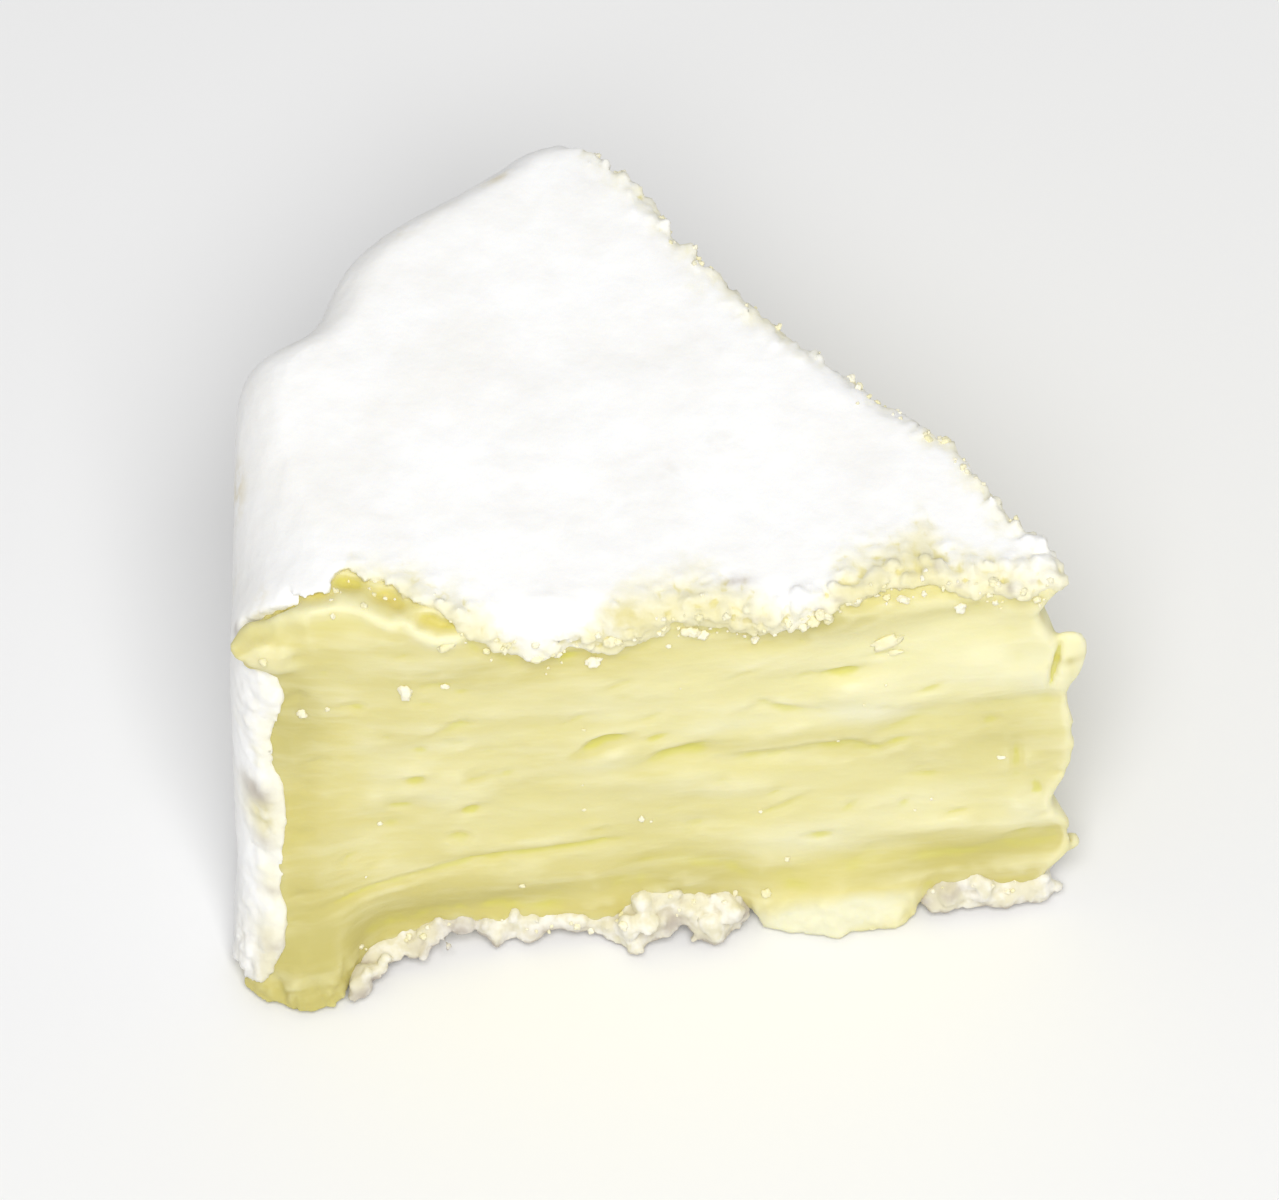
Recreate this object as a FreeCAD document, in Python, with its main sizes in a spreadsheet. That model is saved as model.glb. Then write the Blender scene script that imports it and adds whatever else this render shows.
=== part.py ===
import FreeCAD, Part
import math
import os

# A loose wedge of soft white-rind cheese, cut from a small wheel, lying flat
# on its lower rind.  Millimetres, +Z up.  The tip (the wheel's centre) is
# towards +X, the rim towards -X, and the cut face that shows its paste looks
# towards -Y.  The origin is under the middle of the piece, on its flat base.

doc = FreeCAD.newDocument("camembert_wedge")

# ---------------------------------------------------------------- driving sizes
sheet = doc.addObject("Spreadsheet::Sheet", "sizes")
SIZES = [
    # alias, value (mm or degrees), meaning
    ("wheel_radius", 52.2, "tip to rim, away from the swollen stretch"),
    ("wheel_height", 34.2, "thickness of the wheel at its rim"),
    ("wheel_margin", 8.0, "how far the uncut wheel form reaches past the trimmed rim"),
    ("top_dish", 0.5, "how much lower the upper rind is at the wheel's centre"),
    ("cut_angle", 128.0, "direction of the far cut, from +X"),
    ("far_start_x", 0.8, "a point that the far cut passes, X from the tip"),
    ("far_start_y", 2.6, "the same point, Y from the tip"),
    ("edge_round", 4.6, "upper rim edge"),
    ("foot_round", 1.4, "lower rim edge"),
    ("foot_spread", 0.9, "how far the rim spreads at its foot"),
    ("near_corner", 4.2, "upright corner between the rim and the near cut"),
    ("far_corner", 4.2, "upright corner between the rim and the far cut"),
    ("far_taper", 1.1, "how much nearer the rim is at the far corner"),
    ("tip_round", 1.6, "upright edge at the tip"),
    ("barrel", 0.8, "outward bulge of the rim at half height"),
    ("swell_height", 3.3, "the rim's largest swelling"),
    ("swell_angle", 156.5, "where it is, from +X"),
    ("swell_width", 8.0, "its half width in degrees"),
    ("second_swell", 1.7, "a smaller swelling of the rim"),
    ("second_angle", 142.5, "where it is, from +X"),
    ("second_width", 4.5, "its half width in degrees"),
    ("near_top", 0.5, "upper edge of the near cut, Y from the tip"),
    ("near_foot", -0.8, "lower edge of the near cut, Y from the tip"),
    ("lean_back", 1.8, "how far the near cut's rim end leans back at the top"),
    ("lobe_reach", 5.2, "paste squeezed forward at the foot of the rim end"),
    ("lobe_place", -50.5, "its X from the tip"),
    ("lobe_width", 4.8, "its half width"),
    ("ooze_reach", 1.2, "two smaller bulges along the same foot"),
    ("ooze_place_a", -27.0, "the first one's X from the tip"),
    ("ooze_place_b", -14.5, "the second one's X from the tip"),
    ("ooze_width", 3.2, "their half width"),
    ("far_flare", 1.2, "how far the far cut spreads at its foot, towards the rim"),
    ("tip_tuck", 1.2, "how far it draws in at its foot, at the tip"),
    ("far_swell", 1.4, "bulge of the far cut near the tip"),
    ("far_hollow", 0.7, "hollow of the far cut towards the rim"),
    ("lip_reach", 0.7, "torn upper rind standing over the cuts"),
    ("lip_depth", 2.4, "how far down that lip reaches"),
    ("ripple_depth", 0.30, "waves that the blade leaves in soft paste"),
    ("ripple_pitch", 8.5, "height from one wave to the next"),
    ("origin_x", 25.814, "tip to the origin, X"),
    ("origin_y", -17.685, "tip to the origin, Y"),
]
for row, (alias, value, meaning) in enumerate(SIZES, start=1):
    sheet.set("A%d" % row, alias.replace("_", " "))
    sheet.set("B%d" % row, "%g" % value)
    sheet.set("C%d" % row, meaning)
    sheet.setAlias("B%d" % row, alias)
doc.recompute()
G = {alias: float(sheet.get(alias)) for alias, _, _ in SIZES}


# ---------------------------------------------------------------- small helpers
def bump(t, centre, width):
    return math.exp(-((t - centre) / width) ** 2)


def ease(a, b, t):
    u = min(1.0, max(0.0, (t - a) / (b - a)))
    return u * u * (3.0 - 2.0 * u)


def meet(a, b, k):
    """Intersection of two insides (negative inside) with a round of size k."""
    if k <= 0.0:
        return max(a, b)
    ua, ub = max(a + k, 0.0), max(b + k, 0.0)
    return min(max(a, b), -k) + math.hypot(ua, ub) if (ua > 0 and ub > 0) else max(a, b)


def ripple(along, z, phase):
    """Slow waves that run along a cut, a little uneven, fading at both rinds."""
    fade = ease(0.0, 5.0, z) * (1.0 - ease(G["wheel_height"] - 6.0, G["wheel_height"], z))
    w = math.sin(2.0 * math.pi * z / G["ripple_pitch"] + 0.13 * along + phase)
    w += 0.55 * math.sin(2.0 * math.pi * z / (0.58 * G["ripple_pitch"]) - 0.21 * along + 2.1 * phase)
    w += 0.50 * math.sin(0.34 * along + 1.7 * phase)
    return G["ripple_depth"] * fade * w


def lip(along, z, phase):
    """The torn upper rind hangs a little in front of the paste, unevenly."""
    top = ease(G["wheel_height"] - G["lip_depth"], G["wheel_height"] - 0.35 * G["lip_depth"], z)
    top *= ease(1.0, 12.0, abs(along))
    return G["lip_reach"] * top * (0.65 + 0.35 * math.sin(0.55 * along + phase))


# ---------------------------------------------------------------- the two cuts
def near_y(x, z):
    s = min(1.0, max(0.0, z / G["wheel_height"]))
    foot = G["near_foot"] - G["lobe_reach"] * bump(x, G["lobe_place"], G["lobe_width"])
    foot -= G["ooze_reach"] * bump(x, G["ooze_place_a"], G["ooze_width"])
    foot -= G["ooze_reach"] * bump(x, G["ooze_place_b"], G["ooze_width"])
    top = G["near_top"] + G["lean_back"] * ease(-38.0, -52.0, x)
    rise = 1.0 - (1.0 - s) ** 1.7
    return foot + (top - foot) * rise - ripple(x, z, 0.4) - lip(x, z, 1.0)


def near_side(x, y, z):
    return near_y(x, z) - y


def far_side(x, y, z):
    a = math.radians(G["cut_angle"])
    dx, dy = x - G["far_start_x"], y - G["far_start_y"]
    along = dx * math.cos(a) + dy * math.sin(a)
    out = dx * math.sin(a) - dy * math.cos(a)
    s = min(1.0, max(0.0, z / G["wheel_height"]))
    out -= G["far_swell"] * bump(along, 14.0, 6.0)
    out += G["far_hollow"] * bump(along, 31.0, 7.0)
    out -= G["far_flare"] * (1.0 - s) ** 1.7 * ease(8.0, 24.0, along)
    out += G["tip_tuck"] * (1.0 - s) * (1.0 - ease(2.0, 12.0, along))
    return out - ripple(along, z, 3.3) - lip(along, z, 2.6)


# ---------------------------------------------------------------- the rim
def rim_radius(angle, z):
    h, e, f = G["wheel_height"], G["edge_round"], G["foot_round"]
    r = G["wheel_radius"]
    r += G["swell_height"] * bump(angle, G["swell_angle"], G["swell_width"])
    r += G["second_swell"] * bump(angle, G["second_angle"], G["second_width"])
    r -= G["far_taper"] * ease(142.0, 128.0, angle)
    r += G["barrel"] * (1.0 - ((z - 0.45 * h) / (0.55 * h)) ** 2)
    r += G["foot_spread"] * max(0.0, 1.0 - z / 9.0) ** 2
    if z > h - e:
        r -= e - math.sqrt(max(0.0, e * e - (z - h + e) ** 2))
    if z < f:
        r -= f - math.sqrt(max(0.0, f * f - (f - z) ** 2))
    return r


def outside(x, y, z):
    angle = math.degrees(math.atan2(y, x)) % 360.0
    rim = math.hypot(x, y) - rim_radius(angle, z)
    near, far = near_side(x, y, z), far_side(x, y, z)
    near_k = G["near_corner"] * (0.35 + 0.65 * ease(0.0, 12.0, z))
    d = meet(near, far, G["tip_round"])
    return max(d, meet(near, rim, near_k), meet(far, rim, G["far_corner"]))


# ---------------------------------------------------------------- level outlines
CORNERS = (-8.0, 72.0, 215.0)       # directions in which the three corners point
PER_SIDE = 26
STEP = 0.35


def slope(x, y, z):
    e = 0.02
    gx = outside(x + e, y, z) - outside(x - e, y, z)
    gy = outside(x, y + e, z) - outside(x, y - e, z)
    n = math.hypot(gx, gy) or 1.0
    return gx / n, gy / n, n / (2.0 * e)


def settle(x, y, z):
    """Move a point onto the outline at this height."""
    for _ in range(8):
        d = outside(x, y, z)
        if abs(d) < 1e-6:
            break
        gx, gy, n = slope(x, y, z)
        x, y = x - gx * d / n, y - gy * d / n
    return x, y


def trace(z):
    """Walk once round the outline, anticlockwise seen from above."""
    x, y = settle(-26.0, near_y(-26.0, z), z)
    pts, gone, start = [(x, y)], 0.0, (x, y)
    while True:
        gx, gy, _ = slope(x, y, z)
        x, y = settle(x - gy * STEP, y + gx * STEP, z)
        gone += STEP
        if gone > 20.0 and math.hypot(x - start[0], y - start[1]) < 0.8 * STEP:
            return pts
        if gone > 400.0:
            raise RuntimeError("outline at %g does not close" % z)
        pts.append((x, y))


def outline(z):
    """The traced outline as evenly graded points, side by side from the tip."""
    raw = trace(z)
    n = len(raw)
    ends = []
    for bearing in CORNERS:
        c, d = math.cos(math.radians(bearing)), math.sin(math.radians(bearing))
        ends.append(max(range(n), key=lambda i: raw[i][0] * c + raw[i][1] * d))
    pts = []
    for k in range(3):
        i0, i1 = ends[k], ends[(k + 1) % 3]
        run = [raw[(i0 + j) % n] for j in range((i1 - i0) % n + 1)]
        for j in range(PER_SIDE):
            u = j / float(PER_SIDE)
            w = 0.25 * (0.5 - 0.5 * math.cos(math.pi * u)) + 0.75 * u
            t = w * (len(run) - 1)
            i = min(int(t), len(run) - 2)
            fx = run[i][0] + (run[i + 1][0] - run[i][0]) * (t - i)
            fy = run[i][1] + (run[i + 1][1] - run[i][1]) * (t - i)
            fx, fy = settle(fx, fy, z)
            pts.append(FreeCAD.Vector(fx + G["origin_x"], fy + G["origin_y"], z))
    return pts


def levels():
    """Heights of the outlines, closer together at the foot and the rim's edge."""
    h, e, f = G["wheel_height"], G["edge_round"], G["foot_round"]
    zs = [0.0, 0.3 * f, 1.0 * f]
    start, stop = 2.3 * f, h - e
    count = 11
    zs += [start + (stop - start) * i / float(count - 1) for i in range(count)]
    zs += [h - e * (1.0 - math.sin(math.radians(a))) for a in (17, 33, 48, 62, 76, 90)]
    return zs


sections = []
for i, z in enumerate(levels()):
    ring = Part.BSplineCurve()
    ring.interpolate(Points=outline(z), PeriodicFlag=True)
    sec = doc.addObject("Part::Feature", "outline_%02d" % i)
    sec.Shape = Part.Wire([ring.toShape()])
    sections.append(sec)

skin = doc.addObject("Part::Loft", "cut_form")
skin.Sections = sections
skin.Solid = True
skin.Ruled = False
skin.Closed = False

# ---------------------------------------------------------------- the uncut wheel
wheel = doc.addObject("PartDesign::Body", "wheel_form")
profile = wheel.newObject("Sketcher::SketchObject", "wheel_profile")
plane = [f for f in wheel.Origin.OriginFeatures if f.Role == "XZ_Plane"][0]
profile.AttachmentSupport = [(plane, "")]
profile.MapMode = "FlatFace"
V = FreeCAD.Vector
r0 = G["wheel_radius"] + G["wheel_margin"]
h0, d0 = G["wheel_height"], G["top_dish"]
corner = [V(0, 0, 0), V(r0, 0, 0), V(r0, h0, 0), V(0, h0 - d0, 0)]
for i in range(4):
    profile.addGeometry(Part.LineSegment(corner[i], corner[(i + 1) % 4]), False)
import Sketcher
for i in range(4):
    profile.addConstraint(Sketcher.Constraint("Coincident", i, 2, (i + 1) % 4, 1))
profile.addConstraint(Sketcher.Constraint("Coincident", 0, 1, -1, 1))
profile.addConstraint(Sketcher.Constraint("Horizontal", 0))
profile.addConstraint(Sketcher.Constraint("Vertical", 1))
profile.addConstraint(Sketcher.Constraint("PointOnObject", 3, 1, -2))
c_r = profile.addConstraint(Sketcher.Constraint("DistanceX", 0, 1, 0, 2, r0))
profile.setExpression("Constraints[%d]" % c_r, "sizes.wheel_radius + sizes.wheel_margin")
c_h = profile.addConstraint(Sketcher.Constraint("DistanceY", 1, 1, 1, 2, h0))
profile.setExpression("Constraints[%d]" % c_h, "sizes.wheel_height")
c_d = profile.addConstraint(Sketcher.Constraint("DistanceY", 3, 2, 3, 1, h0 - d0))
profile.setExpression("Constraints[%d]" % c_d, "sizes.wheel_height - sizes.top_dish")
doc.recompute()
turn = wheel.newObject("PartDesign::Revolution", "wheel_turned")
turn.Profile = profile
turn.ReferenceAxis = (profile, ["V_Axis"])
turn.Angle = 360.0
wheel.Tip = turn
wheel.Placement = FreeCAD.Placement(V(G["origin_x"], G["origin_y"], 0), FreeCAD.Rotation())
wheel.setExpression("Placement.Base.x", "sizes.origin_x * 1 mm")
wheel.setExpression("Placement.Base.y", "sizes.origin_y * 1 mm")

# ---------------------------------------------------------------- the wedge
wedge = doc.addObject("Part::Common", "camembert_wedge")
wedge.Label = "camembert_wedge"
wedge.Base = wheel
wedge.Tool = skin
wedge.Placement = FreeCAD.Placement()

doc.recompute()

# ---------------------------------------------------------------- tests, export
NODES = [wedge]
for obj in doc.Objects:
    bad = [s for s in obj.State if s in ("Invalid", "Error")]
    if bad:
        raise RuntimeError("%s is %s" % (obj.Name, bad))
for node in NODES:
    shape = node.Shape
    if shape.isNull() or not shape.isValid():
        raise RuntimeError("%s has a null or invalid shape" % node.Label)
    if len(shape.Solids) != 1:
        raise RuntimeError("%s is %d solids, not 1" % (node.Label, len(shape.Solids)))
    box = shape.optimalBoundingBox(False, False)
    print("%s  x %.3f..%.3f  y %.3f..%.3f  z %.3f..%.3f  volume %.2f cm3" % (
        node.Label, box.XMin, box.XMax, box.YMin, box.YMax, box.ZMin, box.ZMax,
        shape.Volume / 1000.0))
os.makedirs("parts", exist_ok=True)
for node in NODES:
    node.Shape.exportStep("parts/%s.step" % node.Label)
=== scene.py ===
"""Looks of a loose wedge of soft white-rind cheese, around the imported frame.

Two closed meshes stand for the one CAD solid: the paste, which shows at the
two knife cuts, and the bloomy rind, whose torn edge hangs over the cuts.  Both
come from one field (distance to the cut wheel), so they fit each other.  All
lengths in the field are millimetres from the wedge's tip: +X points out of the
tip, the near cut looks to -Y, the rim lies towards -X.
"""
import bpy
import math
import time
import numpy as np
from mathutils import Matrix, Vector
from mathutils.bvhtree import BVHTree


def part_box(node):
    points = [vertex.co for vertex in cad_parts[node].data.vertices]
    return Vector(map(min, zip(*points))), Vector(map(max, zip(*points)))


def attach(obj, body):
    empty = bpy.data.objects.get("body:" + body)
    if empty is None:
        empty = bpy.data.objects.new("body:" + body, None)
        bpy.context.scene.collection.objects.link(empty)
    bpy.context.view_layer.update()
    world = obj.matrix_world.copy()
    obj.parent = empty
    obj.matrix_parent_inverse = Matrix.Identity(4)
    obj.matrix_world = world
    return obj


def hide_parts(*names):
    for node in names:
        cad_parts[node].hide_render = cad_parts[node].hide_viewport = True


T0 = time.time()
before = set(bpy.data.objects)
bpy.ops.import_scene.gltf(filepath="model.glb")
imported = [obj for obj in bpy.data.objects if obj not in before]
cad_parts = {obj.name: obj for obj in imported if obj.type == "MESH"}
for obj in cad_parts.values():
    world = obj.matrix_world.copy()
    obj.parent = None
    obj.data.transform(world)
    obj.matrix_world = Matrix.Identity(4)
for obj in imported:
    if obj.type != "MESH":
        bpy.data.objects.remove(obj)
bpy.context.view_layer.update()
NODE = "camembert_wedge"
LO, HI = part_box(NODE)
# the tip's place in the row frame, in millimetres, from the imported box
OX, OY, OZ = LO[0] * 1000.0 + 53.204, LO[1] * 1000.0 + 5.974, LO[2] * 1000.0
F = np.float32


# =============================================================== numeric helpers
def ease(a, b, t):
    u = np.clip((t - a) / (b - a), 0.0, 1.0)
    return u * u * (3.0 - 2.0 * u)


def bump(t, c, w):
    return np.exp(-((t - c) / w) ** 2)


def meet(a, b, k):
    """Intersection of two insides (negative inside) with a round of size k."""
    ua, ub = np.maximum(a + k, 0.0), np.maximum(b + k, 0.0)
    return np.where((ua > 0) & (ub > 0), np.sqrt(ua * ua + ub * ub) - k, np.maximum(a, b))


def blend_max(a, b, k):
    d = np.clip(0.5 + 0.5 * (a - b) / k, 0.0, 1.0)
    return b + (a - b) * d + k * d * (1.0 - d)


def blend_min(a, b, k):
    return -blend_max(-a, -b, k)


def curve(t, pairs):
    """A smooth curve through a few (place, value) pairs."""
    xs = np.array([p[0] for p in pairs], float)
    ys = np.array([p[1] for p in pairs], float)
    fine = np.linspace(xs[0], xs[-1], 900)
    step = np.interp(fine, xs, ys)
    width = 0.35 * np.median(np.diff(xs)) / (fine[1] - fine[0])
    r = int(max(2, 3 * width))
    kern = np.exp(-0.5 * (np.arange(-r, r + 1) / width) ** 2)
    kern /= kern.sum()
    soft = np.convolve(np.pad(step, r, mode="edge"), kern, mode="valid")
    return np.interp(t, fine, soft).astype(F)


class Noise:
    """Gradient noise on a repeating random lattice, about -1 to 1."""

    def __init__(self, seed, n=32):
        rng = np.random.default_rng(seed)
        g = rng.normal(size=(n * n * n, 3))
        self.g = (g / np.linalg.norm(g, axis=1, keepdims=True)).astype(F)
        self.n = n

    def __call__(self, x, y, z):
        n = self.n
        x, y, z = (np.asarray(v, F) + F(100.37) for v in np.broadcast_arrays(x, y, z))
        ix, iy, iz = (np.floor(v).astype(np.int32) for v in (x, y, z))
        fx, fy, fz = x - ix, y - iy, z - iz
        ux, uy, uz = (v * v * v * (v * (v * 6 - 15) + 10) for v in (fx, fy, fz))
        out = 0.0
        for dx in (0, 1):
            wx = ux if dx else 1 - ux
            for dy in (0, 1):
                wy = uy if dy else 1 - uy
                for dz in (0, 1):
                    wz = uz if dz else 1 - uz
                    k = ((ix + dx) % n * n + (iy + dy) % n) * n + (iz + dz) % n
                    g = self.g[k]
                    out = out + wx * wy * wz * (
                        g[..., 0] * (fx - dx) + g[..., 1] * (fy - dy) + g[..., 2] * (fz - dz)
                    )
        return (out * F(1.5)).astype(F)


N1, N2, N3, N4, N5, N6 = (Noise(s) for s in (11, 23, 37, 41, 59, 73))


def fbm(noise, x, y, z, octaves=3, gain=0.5):
    total, amp = 0.0, 1.0
    for i in range(octaves):
        total = total + amp * noise(x * 2.03 ** i + 3.1 * i, y * 2.03 ** i - 1.7 * i, z * 2.03 ** i + 5.3 * i)
        amp *= gain
    return total


# =============================================================== the wheel's sizes
H = HI[2] * 1000.0 - OZ - 0.02      # upper rind, highest
SKIN = 0.50                         # rind stands this proud of the bare paste
FOOT = 1.4                          # round at the foot of the rim
CUT_A = math.radians(128.0)
FAR_X, FAR_Y = 0.7, 2.6

# rim distance from the tip by bearing: swollen in the middle, a small notch
RIM = [(110, 51.6), (126, 51.6), (130, 51.4), (135, 52.2), (139.6, 53.7), (143.9, 54.5), (147.9, 53.6),
       (151.2, 53.4), (152.6, 55.0), (154.2, 56.4), (157, 55.7), (160.5, 54.6), (164, 53.7),
       (168, 53.0), (172, 52.6), (178, 52.5), (190, 52.7), (220, 52.7)]

# sideways place of the tip's ragged edge by height
TIP = [(-2, -0.9), (0.5, -0.9), (2.8, -0.6), (4.6, 0.9), (6.2, 1.9), (7.4, 1.2), (9.0, -0.2), (10.5, -0.2),
       (12.5, 0.9), (15.0, 1.8), (17.6, 1.9), (19.6, 1.2), (21.6, 1.1), (23, 1.4), (25, 0.9), (27.5, 0.1),
       (29.6, -0.8), (31.5, 0.5), (33, 1.5), (36, 1.6)]

# where the upper rind ends along the near cut: mm down the face, or back from
# the edge if negative
LIP = [(-57, -3.0), (-53, -3.0), (-51.6, -2.2), (-50.6, -2.0), (-49.9, -1.6), (-48.7, -0.9), (-47.1, -1.2),
       (-46.0, -2.0), (-45.3, -3.0), (-44.6, -3.3), (-43.8, -3.0), (-43.0, -2.7), (-42.1, -2.4), (-41.2, -2.1),
       (-40.4, -1.2), (-39.4, -0.5), (-38.4, 0.0), (-37.6, 1.3), (-36.8, 2.6), (-35.9, 3.2), (-34.8, 3.8), (-33.2, 4.6),
       (-32.4, 4.7), (-31.5, 4.2), (-30.2, 3.9), (-29.3, 4.4), (-28.2, 4.6), (-26.9, 4.5), (-25.6, 3.4),
       (-24.7, 2.9), (-23.9, 2.0), (-23.3, 2.2), (-22.7, 2.9), (-21.9, 2.1), (-21.0, 2.9), (-19.9, 3.6),
       (-18.8, 4.0), (-17.8, 4.0), (-16.4, 3.7), (-14.9, 3.1), (-13.7, 1.8), (-12.8, 1.4), (-11.7, 1.5),
       (-10.7, 0.6), (-9.6, 0.8), (-8.2, 0.1), (-6.8, 0.3), (-5.9, 1.1), (-5.1, 2.0), (-4.2, 1.7), (-2.9, 1.6),
       (-1.9, 2.2), (-0.8, 1.8), (0.4, 1.7), (6, 1.7)]
# where it stops being pure white
WHITE = [(-57, -4.4), (-51.1, -4.2), (-50.2, -2.4), (-49.3, -1.2), (-48.2, -1.1), (-47.1, -1.5), (-46.0, -2.5),
         (-45.3, -4.2), (-44.7, -4.7), (-44.0, -4.2), (-43.1, -3.9), (-42.2, -4.1), (-40.9, -4.2), (-39.7, -3.7),
         (-38.3, -2.6), (-37.0, -1.3), (-35.8, 0.0), (-34.7, 1.9), (-33.8, 3.7), (-33.0, 4.3), (-32.0, 3.7),
         (-30.6, 2.6), (-29.0, 1.3), (-27.9, -0.2), (-26.7, -1.3), (-25.5, -1.4), (-24.7, -1.6), (-24.1, -2.0),
         (-23.0, -2.6), (-21.3, -2.3), (-20.1, -1.7), (-19.0, -1.2), (-18.4, 0.0), (-17.7, 1.0), (-16.9, 1.6),
         (-15.7, 1.5), (-14.6, 0.8), (-13.9, -0.8), (-13.2, -2.8), (-12.3, -3.4), (-10.4, -3.6), (-8.9, -4.0),
         (-8.0, -5.8), (-7.3, -5.6), (-6.6, -3.5), (-5.9, -2.6), (-4.2, -1.7), (-2.2, -1.2), (-0.2, -0.9), (6, -0.5)]
# hollows in the torn lip: place, mm down, depth, half width, half height
DIMPLES = [(-24.6, 1.3, 0.4, 0.8, 0.6),
           (-22.0, 0.6, 0.3, 1.0, 0.5), (-12.4, -1.2, 0.40, 0.8, 0.45), (-8.9, -1.1, 0.40, 0.9, 0.5),
           (-20.4, 1.6, 0.3, 0.7, 0.4), (-36.6, 1.5, 0.3, 0.9, 0.4), (-16.0, 2.6, 0.3, 0.8, 0.4),
           (-5.2, 0.2, 0.35, 0.8, 0.4), (-2.2, 0.5, 0.3, 0.8, 0.4), (-30.5, 3.2, 0.25, 1.0, 0.4)]
# height of the lower rind along the near cut's foot
SOLE = [(-57, -0.5), (-53.6, -0.5), (-52.0, -0.6), (-50.0, -0.8), (-47.9, -0.6), (-47.1, -0.2), (-46.4, 1.3),
        (-45.3, 1.7), (-44.0, 1.6), (-42.3, 1.8), (-40.7, 2.3), (-39.4, 2.5), (-37.9, 2.1), (-35.8, 2.0),
        (-34.2, 1.8), (-33.2, 1.5), (-32.2, 1.4), (-30.8, 1.4), (-29.6, 1.7), (-28.8, 2.3), (-28.0, 3.2),
        (-27.2, 3.7), (-26.4, 4.0), (-25.4, 3.6), (-24.6, 2.9), (-23.6, 2.9), (-22.6, 3.2), (-21.6, 3.2),
        (-20.8, 2.6), (-20.2, 1.4), (-19.7, -0.4), (-17.5, -1.6), (-15.5, -1.8), (-13.0, -1.8),
        (-11.2, -1.6), (-9.8, -1.0), (-9.1, 0.8), (-8.5, 2.2), (-7.4, 2.6), (-5.3, 2.7), (-4.1, 2.5),
        (-2.4, 2.6), (-0.3, 2.4), (6, 2.4)]
# how far forward the foot reaches
FOOT_Y = [(-57, -3.9), (-54, -4.6), (-52.5, -5.2), (-50.1, -6.0), (-48.2, -6.0), (-47.2, -5.8), (-46.5, -5.2),
          (-45.3, -3.8), (-44.0, -2.9), (-42.8, -2.5), (-41.1, -2.2), (-39.4, -1.8), (-38.7, -1.0), (-37.8, -0.4),
          (-36.8, -0.3), (-35.8, -0.6), (-34.8, -1.1), (-33.7, -0.9), (-32.1, -0.8), (-30.6, -1.0), (-29.2, -1.4),
          (-28.2, -2.3), (-27.2, -2.3), (-26.3, -1.6), (-25.5, -1.2), (-24.6, -1.6), (-23.4, -2.3), (-22.2, -2.2),
          (-21.2, -1.4), (-20.2, -1.3), (-19.2, -1.9), (-18.3, -2.1), (-17.0, -2.4), (-15.6, -2.8), (-14.0, -2.6),
          (-12.2, -2.4), (-10.6, -2.0), (-9.4, -1.3), (-8.2, -1.1), (-5.1, -1.0), (-2.5, -0.9), (-0.3, -0.8), (6, -0.8)]
# how far the lower rind's edge is lifted off the board
LIFT = [(-57, 0), (-52.6, 0.0), (-51.9, 0.5), (-51.0, 0.4), (-50.2, 0.0), (-47.6, 0.0), (-46.6, 0.7),
        (-45.2, 1.1), (-42.6, 1.1), (-41.0, 1.3), (-40.0, 1.9), (-38.9, 2.1), (-38.0, 1.4), (-37.0, 0.7), (-36.0, 0.1),
        (-34.9, 0.5), (-33.6, 0.9), (-32.4, 0.8), (-31.0, 0.7), (-30.0, 0.4), (-28.8, 0.0), (-27.2, 0.2), (-26.0, 1.1),
        (-25.2, 1.6), (-24.2, 1.3), (-23.2, 0.3), (-22.2, 0.1), (-21.4, 0.7), (-20.6, 1.5), (-19.6, 1.2),
        (-18.7, 0.3), (-17.8, 0.0), (-10.8, 0.0), (-9.9, 0.5), (-9.1, 1.1), (-8.3, 0.7), (-7.0, 0.3), (-5.0, 0.5),
        (-3.0, 0.2), (6, 0.3)]
# edge of the rim's rind beside the near cut, by height
STRIP = [(-2, -57), (0.4, -56.5), (1.1, -53.4), (1.8, -52.2), (2.6, -51.5), (3.6, -50.9), (4.9, -50.5), (7.1, -50.4), (8.6, -50.7), (10.0, -50.4),
         (12.1, -50.3), (13.6, -49.9), (15.5, -49.8), (17.4, -49.8), (19.0, -50.4), (20.3, -50.4), (21.8, -50.5),
         (23.2, -49.8), (24.6, -49.4), (26.3, -49.3), (27.5, -49.5), (28.3, -50.4), (29.0, -52.0), (31, -53.2), (36, -54)]

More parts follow.
